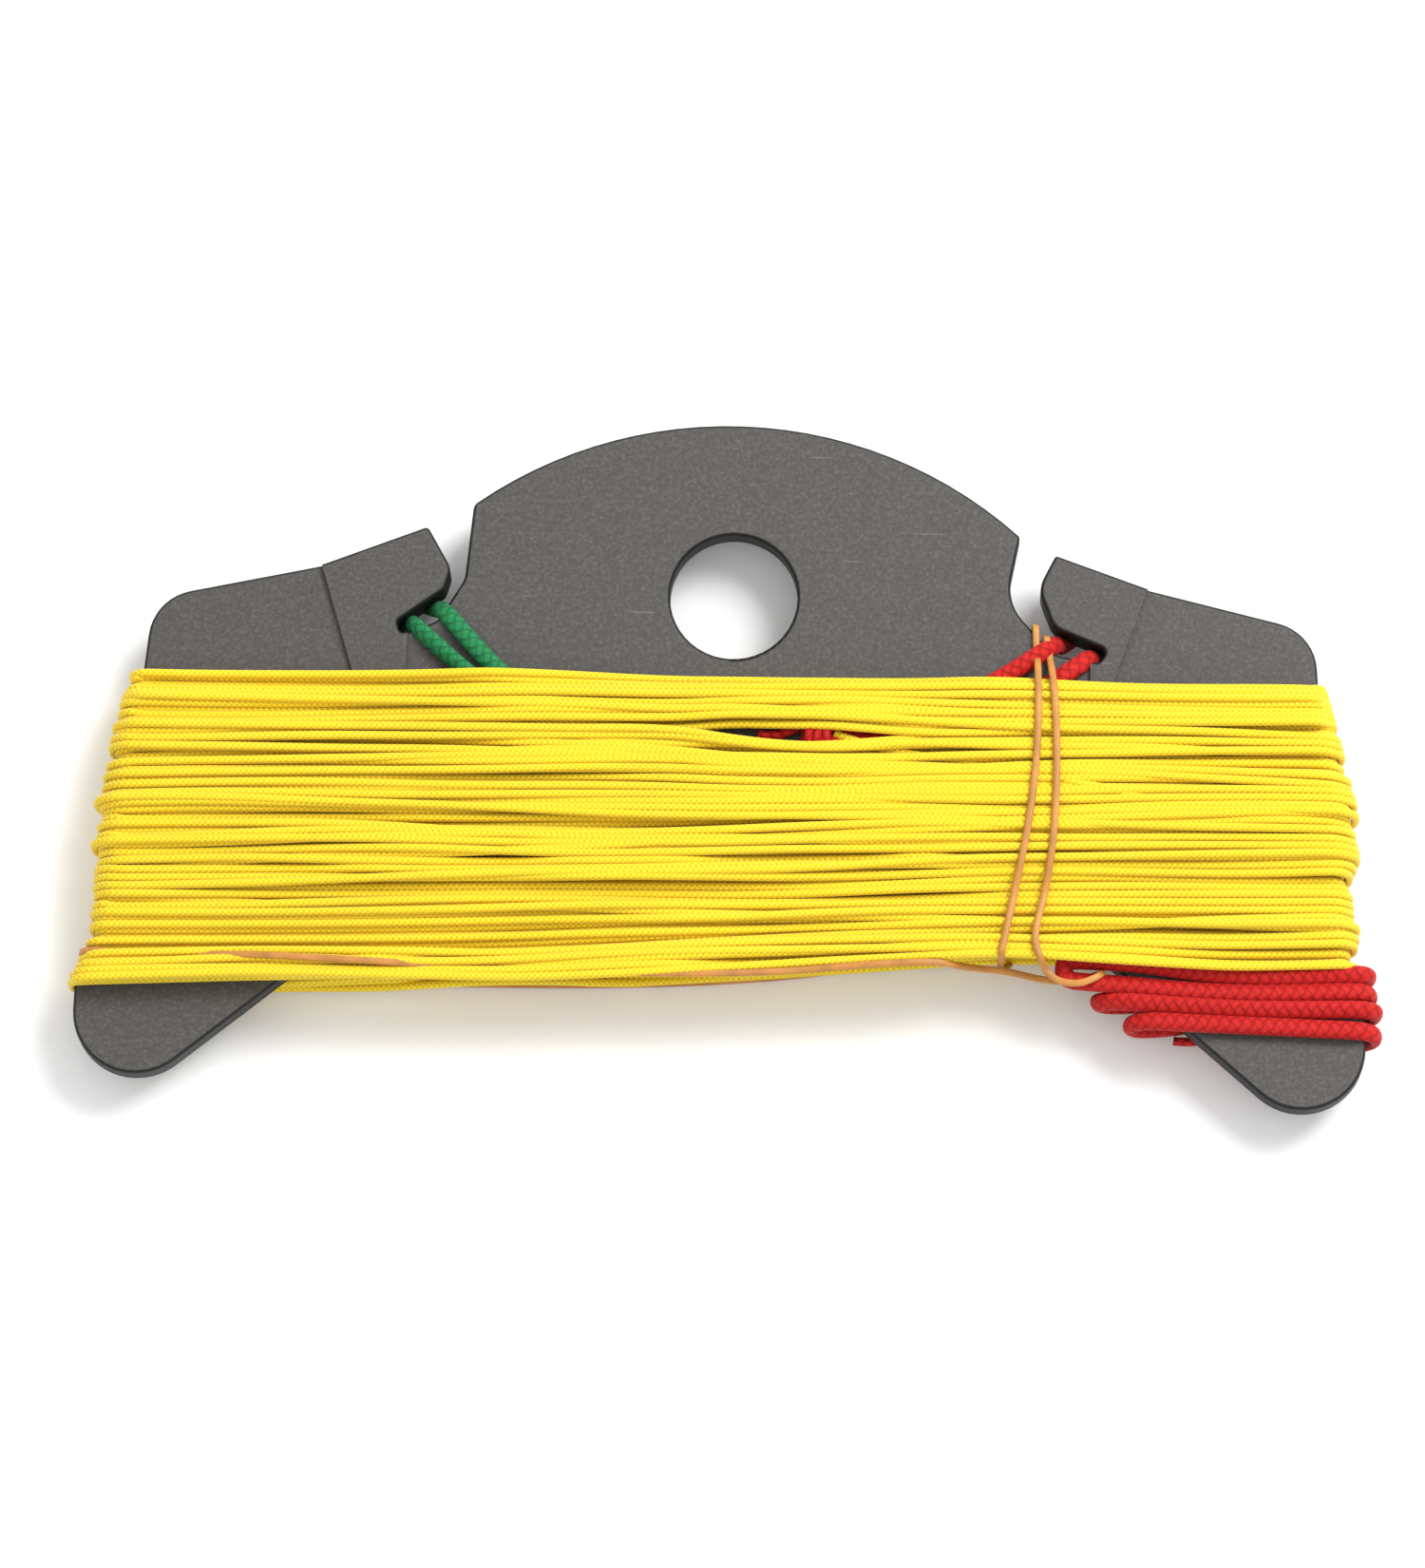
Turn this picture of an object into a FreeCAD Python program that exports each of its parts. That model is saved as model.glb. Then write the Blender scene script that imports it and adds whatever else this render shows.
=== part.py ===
"""Hand-line winder: a flat moulded card with two sleeved braided lines wound on it.

Frame: origin at the centre of the finger hole, halfway through the plate.
+X runs along the plate to the right, +Y towards the domed edge, +Z out of the front face.
All sizes are in millimetres.
"""
import FreeCAD, Part
import math
import os

import Sketcher
from FreeCAD import Vector

os.makedirs("parts", exist_ok=True)
doc = FreeCAD.newDocument("HandLineWinder")

# ---------------------------------------------------------------- driving dimensions
DIMENSIONS = (
    # the plate
    ("overall_width", 200.0, "outside of one leg to outside of the other"),
    ("leg_drop", 79.15, "finger hole centre down to the bottom of the legs"),
    ("plate_thickness", 4.5, "flat of the moulded plate"),
    ("edge_round", 0.6, "rounding of the plate's edges"),
    ("hook_rise", 0.8, "how far the hooks stand proud of each face"),
    ("hook_lip", 1.2, "how far a hook's raised face wraps under the end of its notch"),
    ("finger_hole", 20.0, "bore of the finger hole"),
    ("dome_radius", 67.4, "radius of the domed edge"),
    ("dome_top", 28.0, "finger hole centre up to the top of the dome"),
    ("leg_radius", 9.85, "rounded end of each leg"),
    ("leg_slope", 40.0, "angle of the inner edge of each leg, degrees"),
    ("arch_drop", 50.0, "finger hole centre down to the arch between the legs"),
    ("arch_corner", 12.0, "radius where the arch meets a leg"),
    ("waist_top_inset", 9.0, "how far the shoulders stand inside the legs"),
    ("waist_foot_inset", 4.6, "how far the foot of the waist stands inside the legs"),
    ("waist_foot_drop", 57.5, "finger hole centre down to the foot of the waist"),
    ("flare_drop", 64.5, "finger hole centre down to where a leg reaches full width"),
    ("waist_round", 8.0, "radius at the foot of the waist"),
    ("flare_round", 5.0, "radius where a leg reaches full width"),
    ("shoulder_drop", 2.9, "finger hole centre down to the sharp shoulder corner"),
    ("shoulder_round", 8.0, "radius of the shoulders"),
    ("step_across", 64.8, "middle to the top of the step behind a hook"),
    ("step_up", 3.1, "height of the top of the step"),
    ("step_foot_across", 59.2, "middle to the foot of the step"),
    ("step_foot_drop", 14.0, "depth of the foot of the step"),
    # the left notch: narrow and short
    ("left_dome_corner", 41.4, "middle to the dome's corner"),
    ("left_neck_across", 42.3, "middle to the neck of the notch"),
    ("left_neck_up", 1.7, "height of the neck"),
    ("left_bend_across", 46.2, "middle to the bend under the hook"),
    ("left_bend_drop", 5.3, "depth of the bend under the hook"),
    ("left_end_across", 52.0, "middle to the lower corner of the notch's end"),
    ("left_end_drop", 7.7, "depth of the lower corner of the notch's end"),
    ("left_root_across", 52.6, "middle to the upper corner of the notch's end"),
    ("left_root_drop", 5.8, "depth of the upper corner of the notch's end"),
    ("left_heel_across", 45.4, "middle to the hook's heel"),
    ("left_heel_drop", 0.4, "depth of the hook's heel"),
    ("left_belly_across", 44.4, "middle to the hook's belly"),
    ("left_belly_up", 3.0, "height of the hook's belly"),
    ("left_tip_across", 48.4, "middle to the hook's tip"),
    ("left_tip_up", 9.8, "height of the hook's tip"),
    ("left_corner_round", 1.6, "radius of the dome's corner"),
    ("left_neck_round", 3.0, "radius of the neck"),
    ("left_bend_round", 3.0, "radius of the bend"),
    ("left_end_round", 0.7, "radius in the notch's end"),
    ("left_heel_round", 1.5, "radius of the hook's heel"),
    ("left_belly_round", 3.0, "radius of the hook's belly"),
    ("left_tip_round", 0.7, "radius of the hook's tip"),
    # the right notch: wider and longer
    ("right_dome_corner", 44.6, "middle to the dome's corner"),
    ("right_neck_across", 42.7, "middle to the neck of the notch"),
    ("right_neck_up", 0.4, "height of the neck"),
    ("right_bend_across", 50.4, "middle to the bend under the hook"),
    ("right_bend_drop", 7.8, "depth of the bend under the hook"),
    ("right_end_across", 57.3, "middle to the lower corner of the notch's end"),
    ("right_end_drop", 9.2, "depth of the lower corner of the notch's end"),
    ("right_root_across", 58.8, "middle to the upper corner of the notch's end"),
    ("right_root_drop", 7.1, "depth of the upper corner of the notch's end"),
    ("right_heel_across", 50.2, "middle to the hook's heel"),
    ("right_heel_drop", 3.7, "depth of the hook's heel"),
    ("right_belly_across", 47.6, "middle to the hook's belly"),
    ("right_belly_up", 2.6, "height of the hook's belly"),
    ("right_tip_across", 50.2, "middle to the hook's tip"),
    ("right_tip_up", 8.1, "height of the hook's tip"),
    ("right_corner_round", 0.8, "radius of the dome's corner"),
    ("right_neck_round", 8.0, "radius of the neck"),
    ("right_bend_round", 3.0, "radius of the bend"),
    ("right_end_round", 0.9, "radius in the notch's end"),
    ("right_heel_round", 3.5, "radius of the hook's heel"),
    ("right_belly_round", 4.5, "radius of the hook's belly"),
    ("right_tip_round", 0.5, "radius of the hook's tip"),
    # the windings
    ("line_diameter", 1.35, "braided line"),
    ("inner_build", 1.9, "thickness of the first line's turns on each face"),
    ("outer_build", 1.9, "thickness of the second line's turns on each face"),
    ("winding_top_left", 15.0, "depth of the top turn at the left"),
    ("winding_top_right", 11.8, "depth of the top turn at the right"),
    ("winding_foot_left", 65.6, "depth of the last turn at the left"),
    ("winding_foot_right", 56.2, "depth of the last turn at the right"),
    ("winding_lift_across", 43.0, "middle to where the last turns lift over the red sleeve"),
    ("winding_sag_across", 28.0, "middle to where the last turns hang lowest"),
    ("winding_sag_drop", 64.2, "depth of the last turns there"),
    ("winding_belly", 38.0, "depth at which the winding is fullest"),
    ("winding_inset", 1.6, "how far the first line's turns stop inside the second's"),
    # the sleeves, knots and band
    ("sleeve_diameter", 2.3, "braided sleeve on each end of a line"),
    ("knot_length", 5.6, "length of a stopper knot"),
    ("knot_width", 5.0, "width of a stopper knot"),
    ("knot_height", 3.4, "height of a stopper knot"),
    ("band_diameter", 1.1, "stretched rubber band"),
    ("bedding_gap", 0.06, "room the turns leave around what is wound in with them"),
)


def make_sheet():
    """One row for each dimension: its name, its value with an alias, and what it is."""
    made = doc.addObject("Spreadsheet::Sheet", "Sizes")
    for row, (alias, value, note) in enumerate(DIMENSIONS, start=1):
        made.set(f"A{row}", alias)
        made.set(f"B{row}", str(value))
        made.setAlias(f"B{row}", alias)
        made.set(f"C{row}", note)
    doc.recompute()
    return made


sheet = make_sheet()


class Size:
    """A length that knows both its value and the expression that binds it to the sheet."""

    def __init__(self, value, text):
        self.value = float(value)
        self.text = text

    def __neg__(self):
        return Size(-self.value, f"-({self.text})")

    def __add__(self, other):
        other = as_size(other)
        return Size(self.value + other.value, f"({self.text} + {other.text})")

    def __sub__(self, other):
        other = as_size(other)
        return Size(self.value - other.value, f"({self.text} - {other.text})")

    def __mul__(self, other):
        other = as_size(other)
        return Size(self.value * other.value, f"({self.text} * {other.text})")

    def __truediv__(self, other):
        other = as_size(other)
        return Size(self.value / other.value, f"({self.text} / {other.text})")


def as_size(number):
    return number if isinstance(number, Size) else Size(number, repr(float(number)))


def size(alias):
    """The dimension with this alias."""
    return Size(getattr(sheet, alias), f"Sizes.{alias}")


def root(number):
    return Size(math.sqrt(number.value), f"sqrt({number.text})")


def tangent(degrees):
    return Size(math.tan(math.radians(degrees.value)), f"tan({degrees.text} * 1 deg)")


# ---------------------------------------------------------------- sketch helpers
def plane_of(body, role):
    return next(item for item in body.Origin.OriginFeatures if item.Role == role)


def new_body(label):
    body = doc.addObject("PartDesign::Body", label)
    body.Label = label
    return body


def new_sketch(body, name, role="XY_Plane", lift=None):
    """A sketch on one of the body's own planes, lifted off it along the plane's normal."""
    sketch = body.newObject("Sketcher::SketchObject", name)
    sketch.AttachmentSupport = [(plane_of(body, role), "")]
    sketch.MapMode = "FlatFace"
    if lift is not None:
        sketch.setExpression("AttachmentOffset.Base.z", lift.text)
    return sketch


def pin_point(sketch, edge, end, place):
    """Holds one end of an edge at a place given as two bound sizes."""
    for kind, number in zip(("DistanceX", "DistanceY"), place):
        row = sketch.addConstraint(
            Sketcher.Constraint(kind, -1, 1, edge, end, number.value)
        )
        sketch.setExpression(f"Constraints[{row}]", number.text)


def add_polygon(sketch, corners):
    """A closed outline of straight edges through these corners, each corner bound."""
    points = [Vector(across.value, up.value, 0) for across, up in corners]
    first = sketch.GeometryCount
    for start, end in zip(points, points[1:] + points[:1]):
        sketch.addGeometry(Part.LineSegment(start, end))
    for step in range(len(points)):
        following = first + (step + 1) % len(points)
        sketch.addConstraint(
            Sketcher.Constraint("Coincident", first + step, 2, following, 1)
        )
        pin_point(sketch, first + step, 1, corners[step])


def add_circle(sketch, centre, diameter):
    circle = Part.Circle(
        Vector(centre[0].value, centre[1].value, 0), Vector(0, 0, 1), diameter.value / 2
    )
    edge = sketch.addGeometry(circle)
    pin_point(sketch, edge, 3, centre)
    row = sketch.addConstraint(Sketcher.Constraint("Diameter", edge, diameter.value))
    sketch.setExpression(f"Constraints[{row}]", diameter.text)


def pad_both_ways(body, name, sketch, length):
    """A pad whose middle is the sketch's plane."""
    pad = body.newObject("PartDesign::Pad", name)
    pad.Profile = sketch
    pad.Midplane = True
    pad.setExpression("Length", length.text)
    body.Tip = pad
    doc.recompute()
    return pad


def upright_edges(shape, corners):
    """Names of the straight edges along Z that stand over any of these corners."""
    names = []
    for number, edge in enumerate(shape.Edges, start=1):
        ends = [vertex.Point for vertex in edge.Vertexes]
        if len(ends) != 2 or (ends[0] - ends[1]).cross(Vector(0, 0, 1)).Length > 1e-6:
            continue
        for across, up in corners:
            if math.hypot(ends[0].x - across.value, ends[0].y - up.value) < 1e-4:
                names.append(f"Edge{number}")
    return names


def round_corners(body, name, radius, corners):
    """Rounds the upright edges over these corners to one radius."""
    before = body.Tip
    names = upright_edges(before.Shape, corners)
    if len(names) < len(corners):
        raise RuntimeError(f"{name}: {len(names)} edges over {len(corners)} corners")
    fillet = body.newObject("PartDesign::Fillet", name)
    fillet.Base = (before, names)
    fillet.setExpression("Radius", radius.text)
    body.Tip = fillet
    doc.recompute()


# ---------------------------------------------------------------- the plate
MIDDLE = as_size(0)
LEG_SIDE = size("overall_width") / 2
LEG_CENTRE_DROP = size("leg_drop") - size("leg_radius")
HALF_PLATE = size("plate_thickness") / 2


def mirror(corner):
    return (-corner[0], corner[1])


def notch_corners(side):
    """The sharp corners of one notch and its hook, from the dome outwards, as if on the right."""
    dome_corner = size(f"{side}_dome_corner")
    dome_centre_up = size("dome_top") - size("dome_radius")
    square = size("dome_radius") * size("dome_radius") - dome_corner * dome_corner
    places = {"corner": (dome_corner, dome_centre_up + root(square))}
    for name, sense in (
        ("neck", "up"),
        ("bend", "drop"),
        ("end", "drop"),
        ("root", "drop"),
        ("heel", "drop"),
        ("belly", "up"),
        ("tip", "up"),
    ):
        height = size(f"{side}_{name}_{sense}")
        if sense == "drop":
            height = -height
        places[name] = (size(f"{side}_{name}_across"), height)
    return places


def flank_corners():
    """The sharp corners from the step down one side to the arch, as if on the right."""
    half_turn = size("leg_slope") / 2 + 45
    toe_drop = LEG_CENTRE_DROP + size("leg_radius") * tangent(half_turn)
    rise = toe_drop - size("arch_drop")
    return {
        "step": (size("step_across"), size("step_up")),
        "shoulder": (LEG_SIDE - size("waist_top_inset"), -size("shoulder_drop")),
        "waist": (LEG_SIDE - size("waist_foot_inset"), -size("waist_foot_drop")),
        "flare": (LEG_SIDE, -size("flare_drop")),
        "toe": (LEG_SIDE, -toe_drop),
        "arch": (LEG_SIDE - rise / tangent(size("leg_slope")), -size("arch_drop")),
    }


RIGHT_NOTCH = notch_corners("right")
LEFT_NOTCH = notch_corners("left")
FLANK = flank_corners()


def add_dome(sketch, start, end):
    """The domed edge, an arc about a point on the plate's middle line."""
    centre = Vector(0, (size("dome_top") - size("dome_radius")).value, 0)
    angles = [
        math.atan2(up.value - centre.y, across.value) for across, up in (start, end)
    ]
    circle = Part.Circle(centre, Vector(0, 0, 1), size("dome_radius").value)
    return sketch.addGeometry(Part.ArcOfCircle(circle, angles[0], angles[1]))


def draw_plate_outline(sketch):
    """The whole outline: the dome's arc, then straight edges to be rounded afterwards."""
    right = list(RIGHT_NOTCH.values()) + list(FLANK.values())
    left = [mirror(c) for c in list(LEFT_NOTCH.values()) + list(FLANK.values())]
    chain = right + left[::-1]
    dome = add_dome(sketch, chain[0], chain[-1])
    points = [Vector(across.value, up.value, 0) for across, up in chain]
    last = dome
    for number, (start, end) in enumerate(zip(points, points[1:])):
        edge = sketch.addGeometry(Part.LineSegment(start, end))
        joint = 1 if number == 0 else 2
        sketch.addConstraint(Sketcher.Constraint("Coincident", last, joint, edge, 1))
        pin_point(sketch, edge, 1, chain[number])
        last = edge
    sketch.addConstraint(Sketcher.Constraint("Coincident", last, 2, dome, 2))
    pin_point(sketch, last, 2, chain[-1])
    row = sketch.addConstraint(
        Sketcher.Constraint("Radius", dome, size("dome_radius").value)
    )
    sketch.setExpression(f"Constraints[{row}]", size("dome_radius").text)


def round_plate_corners(body):
    """Each rounded corner of the outline at its own radius."""
    for side, places in (("right", RIGHT_NOTCH), ("left", LEFT_NOTCH)):
        turn = mirror if side == "left" else tuple
        for name, corners in (
            ("corner", ("corner",)),
            ("neck", ("neck",)),
            ("bend", ("bend",)),
            ("end", ("end", "root")),
            ("heel", ("heel",)),
            ("belly", ("belly",)),
            ("tip", ("tip",)),
        ):
            radius = size(f"{side}_{name}_round")
            round_corners(
                body, f"{side}_{name}_rounding", radius, [turn(places[c]) for c in corners]
            )
    for name, radius in (
        ("shoulder", "shoulder_round"),
        ("waist", "waist_round"),
        ("flare", "flare_round"),
        ("toe", "leg_radius"),
        ("arch", "arch_corner"),
    ):
        corners = [FLANK[name], mirror(FLANK[name])]
        round_corners(body, f"{name}_rounding", size(radius), corners)


def halfway(one, other):
    return ((one[0] + other[0]) / 2, (one[1] + other[1]) / 2)


def hook_island(places, turn):
    """The raised zone over one hook: past the edge above it, down its step, up the notch."""
    slope_across = size("step_across") - size("step_foot_across")
    slope_up = size("step_up") + size("step_foot_drop")
    over_step = (
        size("step_across") + slope_across / 2,
        size("step_up") + slope_up / 2,
    )
    notch_end = (places["end"][0] - size("hook_lip"), halfway(places["end"], places["root"])[1])
    corners = [
        over_step,
        (size("step_foot_across"), -size("step_foot_drop")),
        (notch_end[0], -size("step_foot_drop")),
        notch_end,
        halfway(places["bend"], places["heel"]),
        halfway(places["neck"], places["belly"]),
        (halfway(places["corner"], places["tip"])[0], over_step[1]),
    ]
    return [turn(corner) for corner in corners]


def relieve_faces(body):
    """Takes both faces down around the hooks, which are left standing proud."""
    sketch = new_sketch(body, "relief_outline", lift=HALF_PLATE + size("hook_rise"))
    reach_across = LEG_SIDE + size("leg_radius")
    reach_up = size("dome_top") + size("leg_radius")
    reach_down = -size("leg_drop") - size("leg_radius")
    add_polygon(
        sketch,
        [
            (-reach_across, reach_down),
            (reach_across, reach_down),
            (reach_across, reach_up),
            (-reach_across, reach_up),
        ],
    )
    add_polygon(sketch, hook_island(RIGHT_NOTCH, tuple))
    add_polygon(sketch, hook_island(LEFT_NOTCH, mirror))
    doc.recompute()
    pocket = body.newObject("PartDesign::Pocket", "front_relief")
    pocket.Profile = sketch
    pocket.setExpression("Length", size("hook_rise").text)
    body.Tip = pocket
    doc.recompute()
    mirrored = body.newObject("PartDesign::Mirrored", "back_relief")
    mirrored.Originals = [pocket]
    mirrored.MirrorPlane = (plane_of(body, "XY_Plane"), [""])
    body.Tip = mirrored
    doc.recompute()


def bore_finger_hole(body):
    sketch = new_sketch(body, "finger_hole_outline", lift=HALF_PLATE * 2)
    add_circle(sketch, (MIDDLE, MIDDLE), size("finger_hole"))
    doc.recompute()
    pocket = body.newObject("PartDesign::Pocket", "finger_hole")
    pocket.Profile = sketch
    pocket.Type = "ThroughAll"
    body.Tip = pocket
    doc.recompute()


def faces_by_edge(shape):
    """The faces on each edge, by the edge's hash."""
    found = {}
    for face in shape.Faces:
        for edge in face.Edges:
            found.setdefault(edge.hashCode(), []).append(face)
    return found


def rim_edges(shape, levels, wall_height):
    """Names of the edges at these heights between a flat face and a wall at least this high."""
    names = []
    beside = faces_by_edge(shape)
    for number, edge in enumerate(shape.Edges, start=1):
        box = edge.BoundBox
        if box.ZLength > 1e-6 or min(abs(abs(box.ZMin) - z) for z in levels) > 1e-6:
            continue
        heights = sorted(face.BoundBox.ZLength for face in beside[edge.hashCode()])
        if len(heights) == 2 and heights[0] < 1e-6 and heights[1] > wall_height:
            names.append(f"Edge{number}")
    return names


def round_rims(body, name, radius, levels, wall_height):
    """Rounds a body's rims, where its walls meet its faces at these heights."""
    before = body.Tip
    fillet = body.newObject("PartDesign::Fillet", name)
    fillet.Base = (before, rim_edges(before.Shape, levels, wall_height))
    fillet.setExpression("Radius", radius.text)
    body.Tip = fillet
    doc.recompute()


def make_winder_plate():
    """One moulding: dome with a finger hole, two hooked notches, a waist and two legs."""
    body = new_body("winder_plate")
    sketch = new_sketch(body, "plate_outline")
    draw_plate_outline(sketch)
    doc.recompute()
    full_height = size("plate_thickness") + size("hook_rise") * 2
    pad_both_ways(body, "plate_blank", sketch, full_height)
    round_plate_corners(body)
    relieve_faces(body)
    bore_finger_hole(body)
    levels = (HALF_PLATE.value, (HALF_PLATE + size("hook_rise")).value)
    round_rims(body, "rim_rounding", size("edge_round"), levels, HALF_PLATE.value)
    return body


# ---------------------------------------------------------------- the windings
def waist_across(drop):
    """Half the width of the plate's waist at this depth."""
    taper = size("waist_top_inset") - size("waist_foot_inset")
    depth = size("waist_foot_drop") - size("shoulder_drop")
    lean = taper / depth
    return LEG_SIDE - size("waist_top_inset") + (drop - size("shoulder_drop")) * lean


def winding_corners(build, inset):
    """The outline of turns built up this thick, stopping this far inside the top and foot."""
    edge = size("line_diameter")
    top_left = size("winding_top_left") + inset
    top_right = size("winding_top_right") + inset
    foot_left = size("winding_foot_left") - inset
    foot_right = size("winding_foot_right") - inset
    belly = size("winding_belly")
    heel = size("waist_foot_drop")
    return [
        (-waist_across(top_left) - edge, -top_left),
        (-waist_across(belly) - build, -belly),
        (-waist_across(heel) - build, -heel + inset),
        (-LEG_SIDE - edge + inset, -foot_left),
        (-size("winding_sag_across"), -size("winding_sag_drop") + inset),
        (size("winding_lift_across"), -foot_right),
        (waist_across(foot_right) + edge, -foot_right),
        (waist_across(belly) + build, -belly),
        (waist_across(top_right) + edge, -top_right),
    ]


def make_pillow(label, build, inset):
    """Turns drawn as one solid pillow of their outer shape."""
    body = new_body(label)
    sketch = new_sketch(body, label + "_outline")
    add_polygon(sketch, winding_corners(build, inset))
    doc.recompute()
    height = size("plate_thickness") + build * 2
    pad_both_ways(body, label + "_pad", sketch, height)
    level = (HALF_PLATE + build).value
    round_rims(body, label + "_rim", build, (level,), HALF_PLATE.value)
    return body


def make_core():
    """The space the turns go round: the plate's own slab, with the arch filled in."""
    body = new_body("winding_core")
    sketch = new_sketch(body, "core_outline")
    side = [FLANK["shoulder"], FLANK["waist"], FLANK["flare"]]
    foot = (FLANK["flare"][0], FLANK["flare"][1] - size("leg_radius"))
    right = side + [foot]
    add_polygon(sketch, right + [mirror(corner) for corner in right[::-1]])
    doc.recompute()
    pad_both_ways(body, "core_pad", sketch, size("plate_thickness"))
    return body


def cut_away(label, base, tools):
    """The base with each tool taken out of it in turn. The last cut carries the label."""
    for number, tool in enumerate(tools):
        cut = doc.addObject("Part::Cut", f"{label}_cut_{number}")
        cut.Base = base
        cut.Tool = tool
        cut.Refine = False
        base = cut
    base.Label = label
    doc.recompute()
    return base


# ---------------------------------------------------------------- sleeves and band
FRONT = HALF_PLATE.value + size("sleeve_diameter").value / 2
PROUD = FRONT + size("hook_rise").value
TUCKED = FRONT + size("inner_build").value / 2
WRAPPED = HALF_PLATE.value + size("inner_build").value + size("outer_build").value
BAND_FRONT = WRAPPED + size("band_diameter").value / 2
BAND_SUNK = WRAPPED - size("band_diameter").value / 2


def arc_between(before, corner, after):
    """The tangent arc at a route's corner, as large as its two runs allow."""
    back = before - corner
    on = after - corner
    half_turn = (math.pi - back.getAngle(on)) / 2
    tangent_length = 0.45 * min(back.Length, on.Length)
    radius = tangent_length / math.tan(half_turn)
    start = corner + back.normalize() * tangent_length
    end = corner + on.normalize() * tangent_length
    inward = (back + on).normalize()
    middle = corner + inward * (radius / math.cos(half_turn) - radius)
    return start, middle, end, radius


def route_wire(points):
    """Straight runs joined by tangent arcs, and the smallest arc's radius."""
    edges = []
    radii = []
    at = points[0]
    for before, corner, after in zip(points, points[1:], points[2:]):
        start, middle, end, radius = arc_between(before, corner, after)
        edges.append(Part.LineSegment(at, start).toShape())
        edges.append(Part.Arc(start, middle, end).toShape())
        radii.append(radius)
        at = end
    edges.append(Part.LineSegment(at, points[-1]).toShape())
    return Part.Wire(edges), min(radii)


def close_up(points):
    """A ring's route: its ends meet, a hair apart, at the middle of its last run."""
    run = points[0] - points[-1]
    middle = (points[0] + points[-1]) / 2
    hair = run.normalize() * size("band_diameter").value / 20
    return [middle + hair, *points, middle - hair]


def make_tube(label, points, diameter):
    """A round cord along its route, checked against its section times its length."""
    points = [Vector(*point) for point in points]
    wire, tightest = route_wire(points)
    circle = Part.Circle(points[0], points[1] - points[0], diameter.value / 2)
    section = Part.Wire([circle.toShape()])
    solid = wire.makePipeShell([section], True, False)
    expected = math.pi * diameter.value**2 / 4 * wire.Length
    if abs(solid.Volume / expected - 1) > 0.02:
        raise RuntimeError(f"{label}: volume {solid.Volume:.0f} against {expected:.0f}")
    print(f"{label}: {wire.Length:.0f} mm long, tightest arc {tightest:.1f} mm")
    tube = doc.addObject("Part::Feature", label + "_tube")
    tube.Shape = solid
    tube.Placement = FreeCAD.Placement()
    return tube


GREEN_START_ROUTE = (
    (-12.2, -25.8, FRONT),
    (-23.0, -22.4, FRONT),
    (-31.5, -17.4, FRONT),
    (-38.0, -12.0, FRONT),
    (-43.4, -6.0, FRONT),
    (-45.9, -3.0, HALF_PLATE.value / 2),
    (-46.6, -2.4, -HALF_PLATE.value),
    (-49.0, -1.0, -PROUD),
    (-54.0, 1.0, -PROUD),
    (-58.6, 1.2, -PROUD),
    (-60.6, -1.6, -PROUD),
    (-58.0, -4.0, -PROUD),
    (-53.4, -4.6, -PROUD),
    (-50.7, -5.4, -HALF_PLATE.value),
    (-50.2, -5.6, HALF_PLATE.value / 2),
    (-48.0, -8.0, FRONT),
    (-42.5, -12.8, FRONT),
    (-35.0, -18.6, FRONT),
    (-25.5, -24.6, FRONT),
    (-12.2, -28.5, FRONT),
)

RED_START_ROUTE = (
    (13.0, -23.4, FRONT),
    (21.5, -23.6, FRONT),
    (31.0, -21.6, FRONT),
    (40.0, -18.4, FRONT),
    (48.5, -14.0, FRONT),
    (54.2, -9.8, FRONT),
    (56.2, -7.8, HALF_PLATE.value / 2),
    (56.9, -7.4, -HALF_PLATE.value),
    (59.4, -6.4, -PROUD),
    (63.4, -5.4, -PROUD),
    (65.4, -2.6, -PROUD),
    (62.8, -0.4, -PROUD),
    (57.8, -0.8, -PROUD),
    (53.2, -3.4, -PROUD),
    (51.4, -5.4, -HALF_PLATE.value),
    (50.8, -5.8, HALF_PLATE.value / 2),
    (47.8, -8.4, FRONT),
    (42.5, -12.2, FRONT),
    (35.0, -16.4, FRONT),
    (27.0, -19.4, FRONT),
    (18.0, -20.9, FRONT),
    (13.0, -21.0, FRONT),
)

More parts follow.
